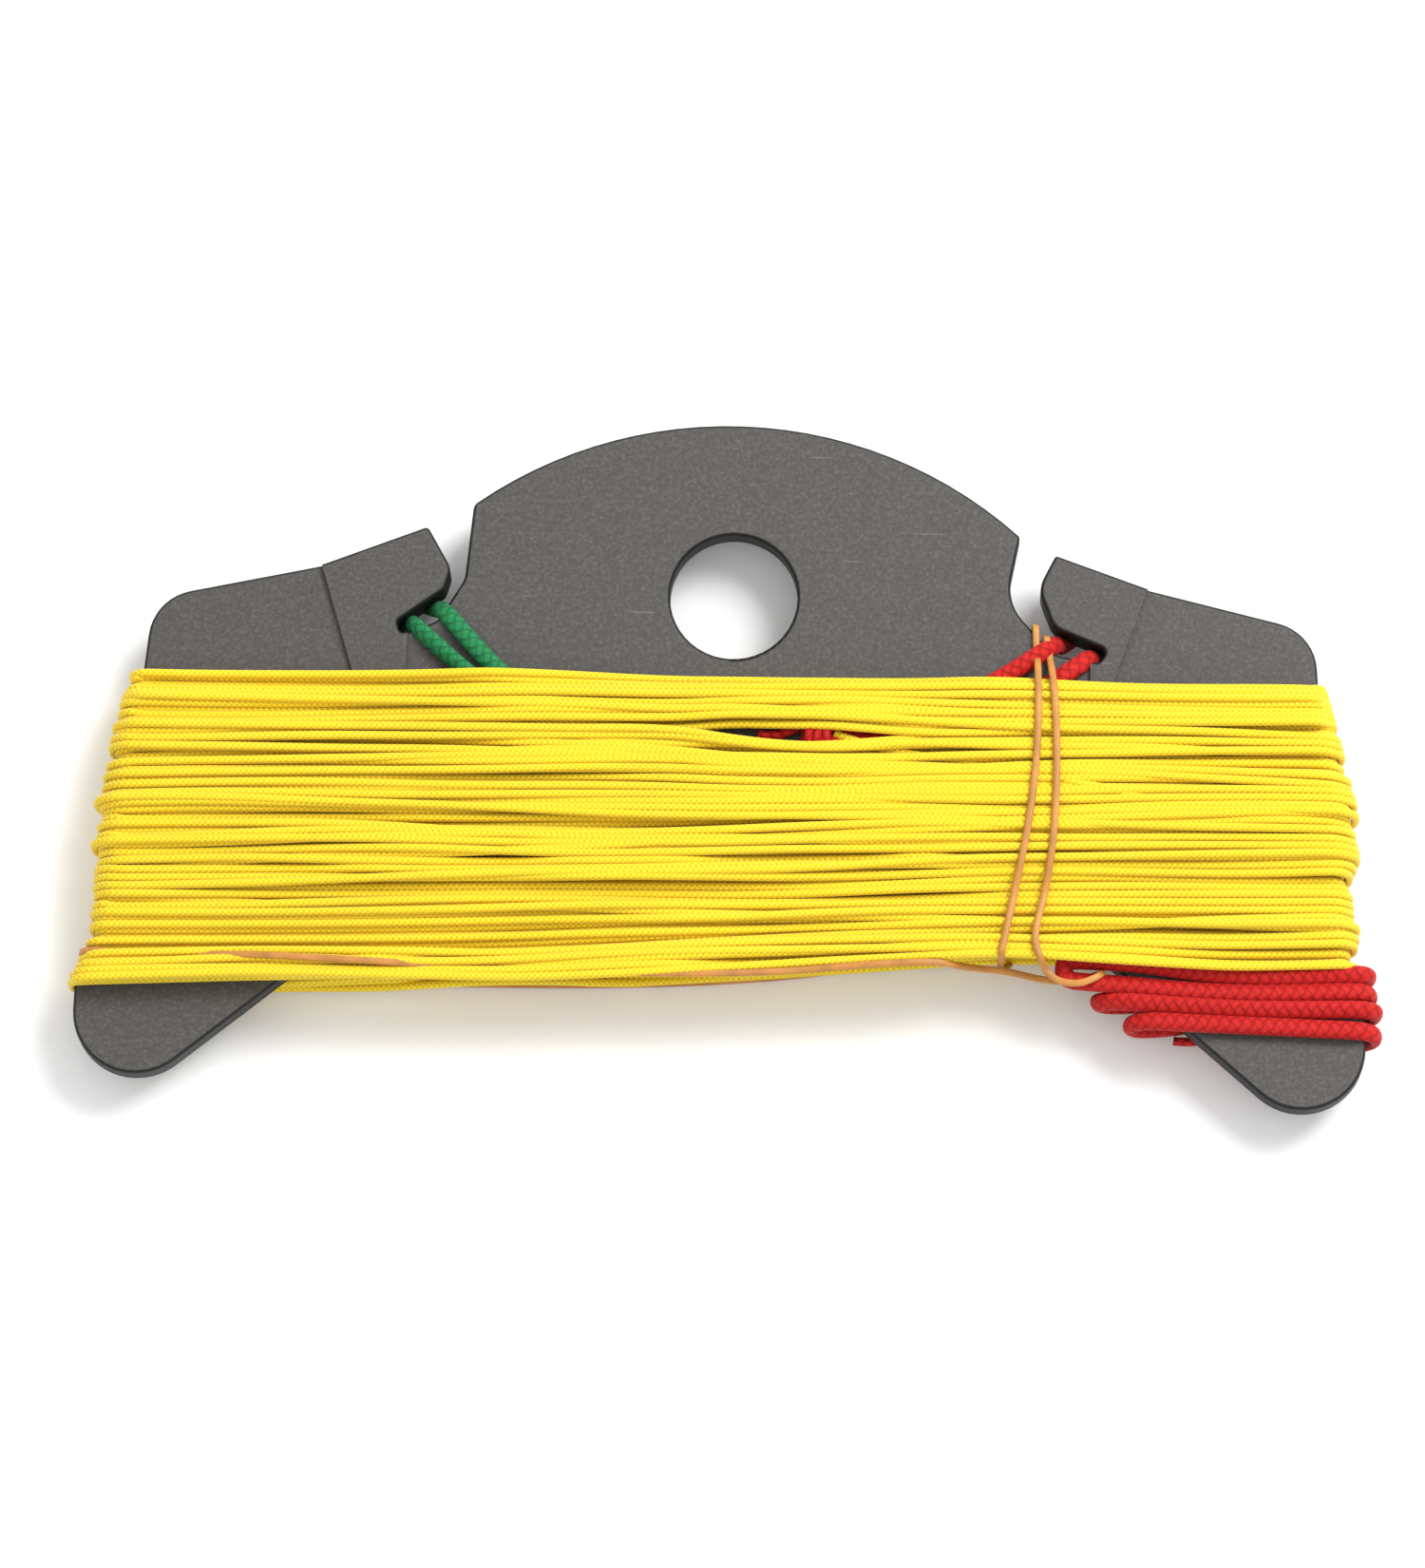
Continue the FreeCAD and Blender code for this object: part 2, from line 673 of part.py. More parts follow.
# Measured from the outer side of the right leg.
RED_END_ROUTE = (
    (-20.0, -68.9, -FRONT),
    (-7.5, -67.9, -FRONT),
    (0.1, -67.2, -FRONT),
    (1.9, -66.9, 0),
    (0.1, -66.7, FRONT),
    (-8.0, -66.6, FRONT),
    (-18.0, -66.4, FRONT),
    (-27.0, -66.3, FRONT),
    (-34.2, -66.1, FRONT),
    (-37.0, -66.3, 0),
    (-34.4, -66.2, -FRONT),
    (-25.0, -64.8, -FRONT),
    (-13.0, -62.4, -FRONT),
    (-0.8, -60.7, -FRONT),
    (1.1, -60.5, 0),
    (-0.8, -60.4, FRONT),
    (-10.0, -61.0, FRONT),
    (-19.0, -61.4, FRONT),
    (-28.0, -61.2, FRONT),
    (-36.5, -60.6, FRONT),
    (-43.0, -60.4, FRONT),
    (-46.8, -60.1, FRONT),
    (-46.9, -57.0, FRONT),
    (-43.2, -56.9, FRONT),
    (-35.5, -57.1, FRONT),
    (-27.0, -58.2, FRONT),
    (-18.0, -58.8, FRONT),
    (-9.0, -58.4, FRONT),
    (-1.0, -57.7, FRONT),
    (0.9, -57.7, 0),
    (-1.2, -57.9, -FRONT),
    (-13.0, -59.9, -FRONT),
    (-26.0, -61.4, -FRONT),
    (-39.0, -62.6, -FRONT),
    (-42.2, -62.9, 0),
    (-39.0, -63.1, FRONT),
    (-29.0, -63.6, FRONT),
    (-18.0, -63.9, FRONT),
    (-8.0, -63.6, FRONT),
    (0.1, -63.3, FRONT),
    (1.9, -63.4, 0),
    (0.1, -63.8, -FRONT),
    (-7.0, -64.8, -FRONT),
    (-15.0, -65.8, -FRONT),
    (-20.0, -66.4, -FRONT),
)

# Measured from the outer side of the left leg.
GREEN_END_ROUTE = (
    (42.4, -50.9, -TUCKED),
    (33.0, -54.4, -TUCKED),
    (26.0, -58.4, -FRONT),
    (19.0, -63.6, -FRONT),
    (12.0, -68.4, -FRONT),
    (7.4, -70.2, -FRONT),
    (6.2, -67.2, -FRONT),
    (12.0, -64.0, -FRONT),
    (19.0, -59.2, -FRONT),
    (26.5, -54.6, -TUCKED),
    (33.5, -51.2, -TUCKED),
    (42.4, -48.4, -TUCKED),
)

BAND_ROUTE = (
    (52.0, -60.4, 1.2),
    (42.0, -58.2, 2.8),
    (24.0, -59.3, 3.0),
    (5.0, -61.3, 3.2),
    (-15.0, -61.9, 4.2),
    (-36.0, -61.8, 5.2),
    (-66.0, -61.0, BAND_SUNK),
    (-94.0, -60.4, BAND_SUNK),
    (-98.6, -60.3, 3.8),
    (-99.6, -60.3, 0.0),
    (-98.6, -60.4, -3.8),
    (-94.0, -60.4, -BAND_SUNK),
    (-66.0, -60.9, -BAND_SUNK),
    (-36.0, -61.4, -5.2),
    (-8.0, -60.4, -4.8),
    (16.0, -58.0, -4.6),
    (32.0, -54.0, -5.3),
    (40.0, -45.0, -BAND_SUNK),
    (44.0, -33.0, -BAND_SUNK),
    (45.6, -22.0, -BAND_SUNK),
    (46.6, -9.6, -5.2),
    (47.2, -4.2, -3.0),
    (47.4, -2.6, 0.0),
    (47.4, -4.4, 4.6),
    (48.0, -12.2, BAND_FRONT),
    (48.2, -24.0, BAND_FRONT),
    (47.2, -36.0, BAND_FRONT),
    (45.2, -47.0, BAND_FRONT),
    (43.5, -56.4, 5.8),
    (43.2, -58.4, 0.0),
    (45.0, -56.0, -5.4),
    (48.0, -44.0, -BAND_SUNK),
    (50.0, -29.0, -BAND_SUNK),
    (50.6, -15.0, -BAND_SUNK),
    (49.8, -7.4, -5.2),
    (48.9, -4.2, 0.0),
    (49.4, -6.6, 5.6),
    (50.4, -13.4, BAND_FRONT),
    (51.2, -24.0, BAND_FRONT),
    (51.2, -36.0, BAND_FRONT),
    (50.2, -46.0, BAND_FRONT),
    (48.2, -54.0, BAND_FRONT),
    (49.2, -57.6, 5.2),
    (51.4, -60.4, 4.6),
    (55.0, -61.2, 5.2),
    (57.8, -60.2, 5.3),
    (59.4, -58.8, 4.2),
    (58.4, -58.8, 1.3),
)


def from_side(route, side):
    """A route measured from the outer side of a leg, put where that leg is."""
    return [(side + across, up, out) for across, up, out in route]


def make_lump(label, centre, gap=MIDDLE):
    """A stopper knot's outer shape, or the hollow that the turns leave around it."""
    lump = doc.addObject("Part::Ellipsoid", label)
    lump.Label = label
    lump.setExpression("Radius1", ((size("knot_height") + gap) / 2).text)
    lump.setExpression("Radius2", ((size("knot_length") + gap) / 2).text)
    lump.setExpression("Radius3", ((size("knot_width") + gap) / 2).text)
    lump.Placement.Base = Vector(*centre)
    return lump


def cord_routes():
    """Every cord's route and diameter: two sleeved loops on each line, and the rubber band."""
    bore = size("sleeve_diameter")
    side = LEG_SIDE.value
    band = [Vector(*point) for point in BAND_ROUTE]
    return {
        "green_start_loop": (GREEN_START_ROUTE, bore),
        "red_start_loop": (RED_START_ROUTE, bore),
        "green_end_loop": (from_side(GREEN_END_ROUTE, -side), bore),
        "red_end_loop": (from_side(RED_END_ROUTE, side), bore),
        "rubber_band": (close_up(band), size("band_diameter")),
    }


def knot_places():
    """The middle of the stopper knot where each loop closes."""
    rise = HALF_PLATE.value + size("knot_height").value / 2
    side = LEG_SIDE.value
    return {
        "green_start": (-11.6, -27.2, rise),
        "red_start": (13.6, -22.2, rise),
        "green_end": (43.0 - side, -49.6, -WRAPPED + size("knot_height").value / 2),
        "red_end": (side - 20.5, -67.6, -rise),
    }


def write_parts(parts):
    """Checks every object and every sub-part, then writes one STEP file for each sub-part."""
    for item in doc.Objects:
        if "Invalid" in item.State or "Error" in item.State:
            raise RuntimeError(f"{item.Name} failed: {item.State}")
    for part in parts:
        shape = part.Shape
        if shape.isNull() or not shape.isValid() or shape.Volume <= 0:
            raise RuntimeError(f"{part.Label} has no sound shape")
    for part in parts:
        part.Shape.exportStep(f"parts/{part.Label}.step")
        print(f"{part.Label}: {part.Shape.Volume:.0f} mm3, {len(part.Shape.Solids)} solid")


def main():
    plate = make_winder_plate()
    core = make_core()
    build = size("inner_build") + size("outer_build")
    first = make_pillow("first_turns", size("inner_build"), size("winding_inset"))
    second = make_pillow("second_turns", build, MIDDLE)
    gap = size("bedding_gap")
    cords = {}
    hollows = []
    for name, (route, diameter) in cord_routes().items():
        cords[name] = make_tube(name, route, diameter)
        hollows.append(make_tube(name + "_hollow", route, diameter + gap))
    knots = {}
    cords["rubber_band"].Label = "rubber_band"
    for name, place in knot_places().items():
        knots[name] = make_lump(name + "_knot", place)
        tools = [knots[name]]
        if name.endswith("start"):
            # pulled hard against the edges of its notch
            tools.append(plate)
        cords[name + "_loop"] = cut_away(name + "_loop", cords[name + "_loop"], tools)
        hollows.append(make_lump(name + "_knot_hollow", place, gap))
    green = cut_away("green_line_winding", first, [core, plate] + hollows)
    red = cut_away("red_line_winding", second, [first, core, plate] + hollows)
    write_parts([plate, green, red, *cords.values(), *knots.values()])


main()
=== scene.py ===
import math
import random

import bpy
import numpy as np
from bpy.props import (
    FloatProperty,
    FloatVectorProperty,
    IntProperty,
    PointerProperty,
)
from bpy.types import Operator, Panel, PropertyGroup
from mathutils import Matrix, Vector


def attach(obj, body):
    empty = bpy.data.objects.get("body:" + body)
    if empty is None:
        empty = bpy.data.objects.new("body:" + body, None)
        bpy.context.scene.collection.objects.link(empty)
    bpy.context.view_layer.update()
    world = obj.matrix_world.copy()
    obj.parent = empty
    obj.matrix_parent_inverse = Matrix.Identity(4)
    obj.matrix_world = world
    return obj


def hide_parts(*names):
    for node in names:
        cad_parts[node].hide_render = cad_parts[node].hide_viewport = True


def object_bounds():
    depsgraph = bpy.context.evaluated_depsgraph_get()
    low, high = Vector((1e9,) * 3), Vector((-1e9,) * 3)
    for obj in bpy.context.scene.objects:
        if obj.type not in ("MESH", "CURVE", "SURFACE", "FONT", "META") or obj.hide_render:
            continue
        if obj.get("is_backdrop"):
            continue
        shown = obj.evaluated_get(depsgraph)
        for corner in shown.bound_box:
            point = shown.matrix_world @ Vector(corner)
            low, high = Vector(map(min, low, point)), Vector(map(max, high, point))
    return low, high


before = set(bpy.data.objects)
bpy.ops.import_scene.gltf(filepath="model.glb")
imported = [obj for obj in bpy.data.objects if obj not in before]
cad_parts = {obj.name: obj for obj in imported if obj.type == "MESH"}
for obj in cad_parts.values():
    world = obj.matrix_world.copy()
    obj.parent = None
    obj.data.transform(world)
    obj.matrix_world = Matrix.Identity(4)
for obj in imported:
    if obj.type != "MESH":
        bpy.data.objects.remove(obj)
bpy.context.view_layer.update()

bl_info = {
    "name": "Hand Line Winder",
    "version": (1, 0, 0),
    "blender": (4, 2, 0),
    "location": "3D View > Sidebar > Winder",
    "description": "Winds two braided lines on a flat card, with their sleeves and a rubber band",
    "category": "Object",
}

MM = 0.001

# ---------------------------------------------------------------- routes, in millimetres
# Heights out of the plate: a sleeve on the plate's face, behind a hook, and under the turns.
FRONT = 3.4
PROUD = 4.2
TUCKED = 4.35
LEG_SIDE = 100.0

GREEN_START_ROUTE = (
    (-12.2, -25.8, FRONT),
    (-23.0, -22.4, FRONT),
    (-31.5, -17.4, FRONT),
    (-38.0, -12.0, FRONT),
    (-43.4, -6.0, FRONT),
    (-45.9, -3.0, 1.1),
    (-46.6, -2.4, -2.2),
    (-49.0, -1.0, -PROUD),
    (-54.0, 1.0, -PROUD),
    (-58.6, 1.2, -PROUD),
    (-60.6, -1.6, -PROUD),
    (-58.0, -4.0, -PROUD),
    (-53.4, -4.6, -PROUD),
    (-50.7, -5.4, -2.2),
    (-50.2, -5.6, 1.1),
    (-48.0, -8.0, FRONT),
    (-42.5, -12.8, FRONT),
    (-35.0, -18.6, FRONT),
    (-25.5, -24.6, FRONT),
    (-12.2, -28.5, FRONT),
)

RED_START_ROUTE = (
    (13.0, -23.4, FRONT),
    (21.5, -23.6, FRONT),
    (31.0, -21.6, FRONT),
    (40.0, -18.4, FRONT),
    (48.5, -14.0, FRONT),
    (54.2, -9.8, FRONT),
    (56.2, -7.8, 1.1),
    (56.9, -7.4, -2.2),
    (59.4, -6.4, -PROUD),
    (63.4, -5.4, -PROUD),
    (65.4, -2.6, -PROUD),
    (62.8, -0.4, -PROUD),
    (57.8, -0.8, -PROUD),
    (53.2, -3.4, -PROUD),
    (51.4, -5.4, -2.2),
    (50.8, -5.8, 1.1),
    (47.8, -8.4, FRONT),
    (42.5, -12.2, FRONT),
    (35.0, -16.4, FRONT),
    (27.0, -19.4, FRONT),
    (18.0, -20.9, FRONT),
    (13.0, -21.0, FRONT),
)

# Measured from the outer side of the right leg.
RED_END_ROUTE = (
    (-20.0, -68.9, -FRONT),
    (-7.5, -67.9, -FRONT),
    (0.1, -67.2, -FRONT),
    (1.9, -66.9, 0.0),
    (0.1, -66.7, FRONT),
    (-8.0, -66.6, FRONT),
    (-18.0, -66.4, FRONT),
    (-27.0, -66.3, FRONT),
    (-34.2, -66.1, FRONT),
    (-37.0, -66.3, 0.0),
    (-34.4, -66.2, -FRONT),
    (-25.0, -64.8, -FRONT),
    (-13.0, -62.4, -FRONT),
    (-0.8, -60.7, -FRONT),
    (1.1, -60.5, 0.0),
    (-0.8, -60.4, FRONT),
    (-10.0, -61.0, FRONT),
    (-19.0, -61.4, FRONT),
    (-28.0, -61.2, FRONT),
    (-36.5, -60.6, FRONT),
    (-43.0, -60.4, FRONT),
    (-46.8, -60.1, FRONT),
    (-46.9, -57.0, FRONT),
    (-43.2, -56.9, FRONT),
    (-35.5, -57.1, FRONT),
    (-27.0, -58.2, FRONT),
    (-18.0, -58.8, FRONT),
    (-9.0, -58.4, FRONT),
    (-1.0, -57.7, FRONT),
    (0.9, -57.7, 0.0),
    (-1.2, -57.9, -FRONT),
    (-13.0, -59.9, -FRONT),
    (-26.0, -61.4, -FRONT),
    (-39.0, -62.6, -FRONT),
    (-42.2, -62.9, 0.0),
    (-39.0, -63.1, FRONT),
    (-29.0, -63.6, FRONT),
    (-18.0, -63.9, FRONT),
    (-8.0, -63.6, FRONT),
    (0.1, -63.3, FRONT),
    (1.9, -63.4, 0.0),
    (0.1, -63.8, -FRONT),
    (-7.0, -64.8, -FRONT),
    (-15.0, -65.8, -FRONT),
    (-20.0, -66.4, -FRONT),
)

# Measured from the outer side of the left leg.
GREEN_END_ROUTE = (
    (42.4, -50.9, -TUCKED),
    (33.0, -54.4, -TUCKED),
    (26.0, -58.4, -FRONT),
    (19.0, -63.6, -FRONT),
    (12.0, -68.4, -FRONT),
    (7.4, -70.2, -FRONT),
    (6.2, -67.2, -FRONT),
    (12.0, -64.0, -FRONT),
    (19.0, -59.2, -FRONT),
    (26.5, -54.6, -TUCKED),
    (33.5, -51.2, -TUCKED),
    (42.4, -48.4, -TUCKED),
)

KNOT_PLACES = {
    "green_start_knot": (-11.6, -27.2, 3.95),
    "red_start_knot": (13.6, -22.2, 3.95),
    "green_end_knot": (-57.0, -49.6, -4.35),
    "red_end_knot": (79.5, -67.6, -3.95),
}

# A knot: the room it takes under the turns, its wraps, and how far beside it its line starts.
KNOT_HALF_LENGTH = 0.005
KNOT_RADIUS = 0.0017
KNOT_WRAPS = 3
WRAP_STEPS = 12
WRAPS_LENGTH = 0.0040
WRAP_REACH = (0.0019, 0.00105)
LINE_OFF_KNOT = 0.0030

# The tail beyond a knot's wraps: how far ahead, aside and down to the plate.
KNOT_TAIL = (
    (2.8, 1.0, 0.2),
    (4.4, 0.2, 0.6),
    (6.4, -0.4, 0.7),
    (9.0, -0.2, 0.7),
)

# Which way each knot's sleeve comes from, across the winder.
KNOT_SLEEVE_FROM = {
    "green_start_knot": -30.0,
    "red_start_knot": 40.0,
    "green_end_knot": -80.0,
    "red_end_knot": 95.0,
}

# Where the red line leaves the turns, in metres, and the rest of it, round to its knot.
RED_LINE_LEAVES = (0.0900, -0.0580, -0.0045)
RED_LINE_TAIL = (
    (84.0, -58.8, -5.2),
    (78.0, -60.6, -5.3),
    (74.6, -63.4, -5.2),
    (74.2, -66.2, -4.6),
    (76.5, -67.6, -3.95),
)

# The band's route where it is off the turns. On them it rides on whatever lies under it.
BAND_ROUTE = (
    (52.0, -60.4, 1.2),
    (42.0, -58.2, 2.8),
    (24.0, -59.3, 3.0),
    (5.0, -61.3, 3.2),
    (-15.0, -61.9, 4.2),
    (-36.0, -61.8, 5.2),
    (-66.0, -61.0, 5.5),
    (-94.0, -60.4, 5.5),
    (-98.6, -60.3, 3.8),
    (-99.6, -60.3, 0.0),
    (-98.6, -60.4, -3.8),
    (-94.0, -60.4, -5.5),
    (-66.0, -60.9, -5.5),
    (-36.0, -61.4, -5.2),
    (-8.0, -60.4, -4.8),
    (16.0, -58.0, -4.6),
    (32.0, -54.0, -5.3),
    (40.0, -45.0, -5.5),
    (44.0, -33.0, -5.5),
    (45.6, -22.0, -5.5),
    (46.6, -9.6, -5.2),
    (47.2, -4.2, -3.0),
    (47.4, -2.6, 0.0),
    (47.4, -4.4, 4.6),
    (48.0, -12.2, 6.6),
    (48.2, -24.0, 6.6),
    (47.2, -36.0, 6.6),
    (45.2, -47.0, 6.6),
    (43.5, -56.4, 5.8),
    (43.2, -58.4, 0.0),
    (45.0, -56.0, -5.4),
    (48.0, -44.0, -5.5),
    (50.0, -29.0, -5.5),
    (50.6, -15.0, -5.5),
    (49.8, -7.4, -5.2),
    (48.9, -4.2, 0.0),
    (49.4, -6.6, 5.6),
    (50.4, -13.4, 6.6),
    (51.2, -24.0, 6.6),
    (51.2, -36.0, 6.6),
    (50.2, -46.0, 6.6),
    (48.2, -54.0, 6.6),
    (49.2, -57.6, 5.2),
    (51.4, -60.4, 4.6),
    (55.0, -61.2, 5.2),
    (57.8, -60.2, 5.3),
    (59.4, -58.8, 4.2),
    (58.4, -58.8, 1.3),
)


def in_metres(points, side=0.0):
    """A route in metres, moved across to the side it is measured from."""
    return [((side + x) * MM, y * MM, z * MM) for x, y, z in points]


def sleeve_routes():
    """Name, route in metres and colour of each sleeved loop."""
    return (
        ("green_start_loop", in_metres(GREEN_START_ROUTE), "green"),
        ("red_start_loop", in_metres(RED_START_ROUTE), "red"),
        ("green_end_loop", in_metres(GREEN_END_ROUTE, -LEG_SIDE), "green"),
        ("red_end_loop", in_metres(RED_END_ROUTE, LEG_SIDE), "red"),
    )


def knot_end(name):
    """Where a line leaves its knot, just beside it."""
    x, y, z = KNOT_PLACES[name]
    return Vector((x * MM + LINE_OFF_KNOT, y * MM, z * MM))


# ---------------------------------------------------------------- settings
def colour_property(name, description, default):
    return FloatVectorProperty(
        name=name,
        description=description,
        default=default,
        size=3,
        min=0.0,
        max=1.0,
        subtype="COLOR",
    )


def length_property(name, description, default):
    return FloatProperty(
        name=name, description=description, default=default, min=0.0, unit="LENGTH"
    )


class LineSettings(PropertyGroup):
    """The two wound lines."""

    diameter: length_property("Diameter", "Thickness of the braided line", 0.00135)
    turns: IntProperty(
        name="Turns", description="Turns of each line", default=51, min=20
    )
    seed: IntProperty(
        name="Seed", description="Chance in how the turns fall", default=7
    )
    colour: colour_property("Colour", "The line's colour", (0.82, 0.595, 0.018))
    braid: length_property("Braid", "Length of one cross in the braid", 0.0009)


class SleeveSettings(PropertyGroup):
    """The sleeved loops at the ends of the lines."""

    diameter: length_property("Diameter", "Thickness of a sleeve", 0.0023)
    red: colour_property("Red", "The red sleeves", (0.42, 0.005, 0.003))
    green: colour_property("Green", "The green sleeves", (0.009, 0.165, 0.052))
    braid: length_property("Braid", "Length of one cross in the braid", 0.0017)
    wrap: length_property("Wrap", "Thickness of the sleeve in a tight knot", 0.0014)
    flat: FloatProperty(
        name="Flattening", description="How far a taut sleeve is pulled flat", default=1.28
    )


class BandSettings(PropertyGroup):
    """The rubber band."""

    width: length_property("Width", "Width of the stretched band", 0.0011)
    thickness: length_property("Thickness", "Thickness of the stretched band", 0.0008)
    colour: colour_property("Colour", "The rubber's colour", (0.47, 0.20, 0.035))


class PlateSettings(PropertyGroup):
    """The moulded plate."""

    colour: colour_property("Colour", "The plastic's colour", (0.066, 0.062, 0.057))
    grain: length_property("Grain", "Size of the moulded grain", 0.0006)


class StageSettings(PropertyGroup):
    """Camera and floor."""

    distance: length_property("Distance", "Camera to the winder", 1.2)
    lens: FloatProperty(
        name="Lens", description="Focal length in millimetres", default=176.6
    )
    tilt: FloatProperty(
        name="Tilt",
        description="How far the camera leans towards the legs",
        default=math.radians(14.0),
        subtype="ANGLE",
    )
    yaw: FloatProperty(
        name="Yaw",
        description="How far the camera leans to the right",
        default=math.radians(1.55),
        subtype="ANGLE",
    )
    roll: FloatProperty(
        name="Roll",
        description="How far the winder lies turned in the view",
        default=0.037,
        subtype="ANGLE",
    )
    floor: colour_property("Floor", "The floor's colour", (0.90, 0.90, 0.90))


SETTINGS = {
    "winder_line": LineSettings,
    "winder_sleeve": SleeveSettings,
    "winder_band": BandSettings,
    "winder_plate": PlateSettings,
    "winder_stage": StageSettings,
}


# ---------------------------------------------------------------- node materials
class Shader:
    """A small helper that adds shader nodes and joins them up."""

    def __init__(self, name):
        self.material = bpy.data.materials.new(name)
        self.material.use_nodes = True
        self.tree = self.material.node_tree
        self.surface = self.tree.nodes["Principled BSDF"]

    def node(self, kind, **values):
        made = self.tree.nodes.new(kind)
        for key, value in values.items():
            setattr(made, key, value)
        return made

    def feed(self, socket, value):
        """Joins a node's output to a socket, or sets the socket's own value."""
        if isinstance(value, bpy.types.NodeSocket):
            self.tree.links.new(value, socket)
        else:
            socket.default_value = value

    def maths(self, operation, *values):
        made = self.node("ShaderNodeMath", operation=operation)
        for socket, value in zip(made.inputs, values):
            self.feed(socket, value)
        return made.outputs["Value"]

    def noise(self, where, scale, detail=2.0, roughness=0.5):
        made = self.node("ShaderNodeTexNoise")
        self.feed(made.inputs["Vector"], where)
        made.inputs["Scale"].default_value = scale
        made.inputs["Detail"].default_value = detail
        made.inputs["Roughness"].default_value = roughness
        return made.outputs["Fac"]

    def ramp(self, value, *stops):
        """Stops are (position, colour)."""
        made = self.node("ShaderNodeValToRGB")
        self.feed(made.inputs["Fac"], value)
        elements = made.color_ramp.elements
        while len(elements) < len(stops):
            elements.new(0.5)
        for element, (position, colour) in zip(elements, stops):
            element.position = position
            element.color = colour
        return made.outputs["Color"]

    def level(self, value, low, high):
        """A number between 0 and 1 spread between low and high."""
        made = self.node("ShaderNodeMapRange")
        self.feed(made.inputs["Value"], value)
        made.inputs["To Min"].default_value = low
        made.inputs["To Max"].default_value = high
        return made.outputs["Result"]

    def blend(self, how, first, second):
        """Two colours blended in full."""
        made = self.node("ShaderNodeMix", data_type="RGBA", blend_type=how)
        made.inputs["Factor"].default_value = 1.0
        self.feed(made.inputs["A"], first)
        self.feed(made.inputs["B"], second)
        return made.outputs["Result"]

    def bump(self, height, depth, strength=1.0):
        made = self.node("ShaderNodeBump")
        self.feed(made.inputs["Height"], height)
        made.inputs["Distance"].default_value = depth
        made.inputs["Strength"].default_value = strength
        return made.outputs["Normal"]


def shade(colour, amount):
    """A colour made lighter or darker, with full alpha."""
    return (*[min(1.0, c * amount) for c in colour], 1.0)


# How the plate's walls are darkened beside its faces: painted shade on its walls and rounded rims.
WALL_SHADE = (0.05, 0.05, 0.05, 1.0)
FACE_SHADE = (1.0, 1.0, 1.0, 1.0)


def plate_plastic(settings):
    """Dark grey plastic with a fine moulded grain, a little scuffed, and painted shade on its
    walls.
    """
    made = Shader("winder plate plastic")
    where = made.node("ShaderNodeTexCoord").outputs["Object"]
    grain = made.noise(where, 1.0 / settings.grain, 3.0, 0.7)
    cloud = made.noise(where, 45.0, 3.0)
    speck = made.ramp(
        grain,
        (0.30, shade(settings.colour, 0.68)),
        (0.52, shade(settings.colour, 0.95)),
        (0.75, shade(settings.colour, 1.60)),
    )
    stretched = made.node("ShaderNodeMapping")
    made.feed(stretched.inputs["Vector"], where)
    stretched.inputs["Scale"].default_value = (60.0, 900.0, 400.0)
    stretched.inputs["Rotation"].default_value = (0.0, 0.0, 0.5)
    scuff = made.noise(stretched.outputs["Vector"], 1.0, 2.0)
    scuffs = made.level(made.maths("GREATER_THAN", scuff, 0.74), 0.0, 0.05)
    tone = made.blend("ADD", speck, scuffs)
    # Painted shade: the colour is darkened where the surface turns away from facing up or down, on
    # the walls and rims.
    facing = made.node("ShaderNodeSeparateXYZ")
    made.feed(facing.inputs["Vector"], made.node("ShaderNodeNewGeometry").outputs["Normal"])
    level = made.maths("ABSOLUTE", facing.outputs["Z"])
    painted_wall_shade = made.ramp(level, (0.90, WALL_SHADE), (0.998, FACE_SHADE))
    made.feed(made.surface.inputs["Base Color"], made.blend("MULTIPLY", tone, painted_wall_shade))
    rough = made.maths("ADD", made.level(cloud, 0.50, 0.66), scuffs)
    made.feed(made.surface.inputs["Roughness"], rough)
    made.feed(made.surface.inputs["Normal"], made.bump(grain, 0.00006, 0.5))
    made.surface.inputs["Specular IOR Level"].default_value = 0.35
    return made.material


def braid(made, length, crosses):
    """The over-and-under height of a round braid, 0 to 1, from the cord's own UVs."""
    uv = made.node("ShaderNodeUVMap", uv_map="cord")
    split = made.node("ShaderNodeSeparateXYZ")
    made.feed(split.inputs["Vector"], uv.outputs["UV"])
    along = made.maths("DIVIDE", split.outputs["X"], length)
    around = made.maths("MULTIPLY", split.outputs["Y"], float(crosses))
    one = made.maths("ADD", along, around)
    other = made.maths("SUBTRACT", along, around)
    cells = made.maths("ADD", made.maths("FLOOR", one), made.maths("FLOOR", other))
    over = made.maths("PINGPONG", cells, 1.0)
    ridges = []
    for way in (one, other):
        wave = made.maths("SINE", made.maths("MULTIPLY", way, math.pi))
        ridges.append(made.maths("ABSOLUTE", wave))
    mixed = made.node("ShaderNodeMix", data_type="FLOAT")
    made.feed(mixed.inputs["Factor"], over)
    made.feed(mixed.inputs["A"], ridges[0])
    made.feed(mixed.inputs["B"], ridges[1])
    return mixed.outputs["Result"]


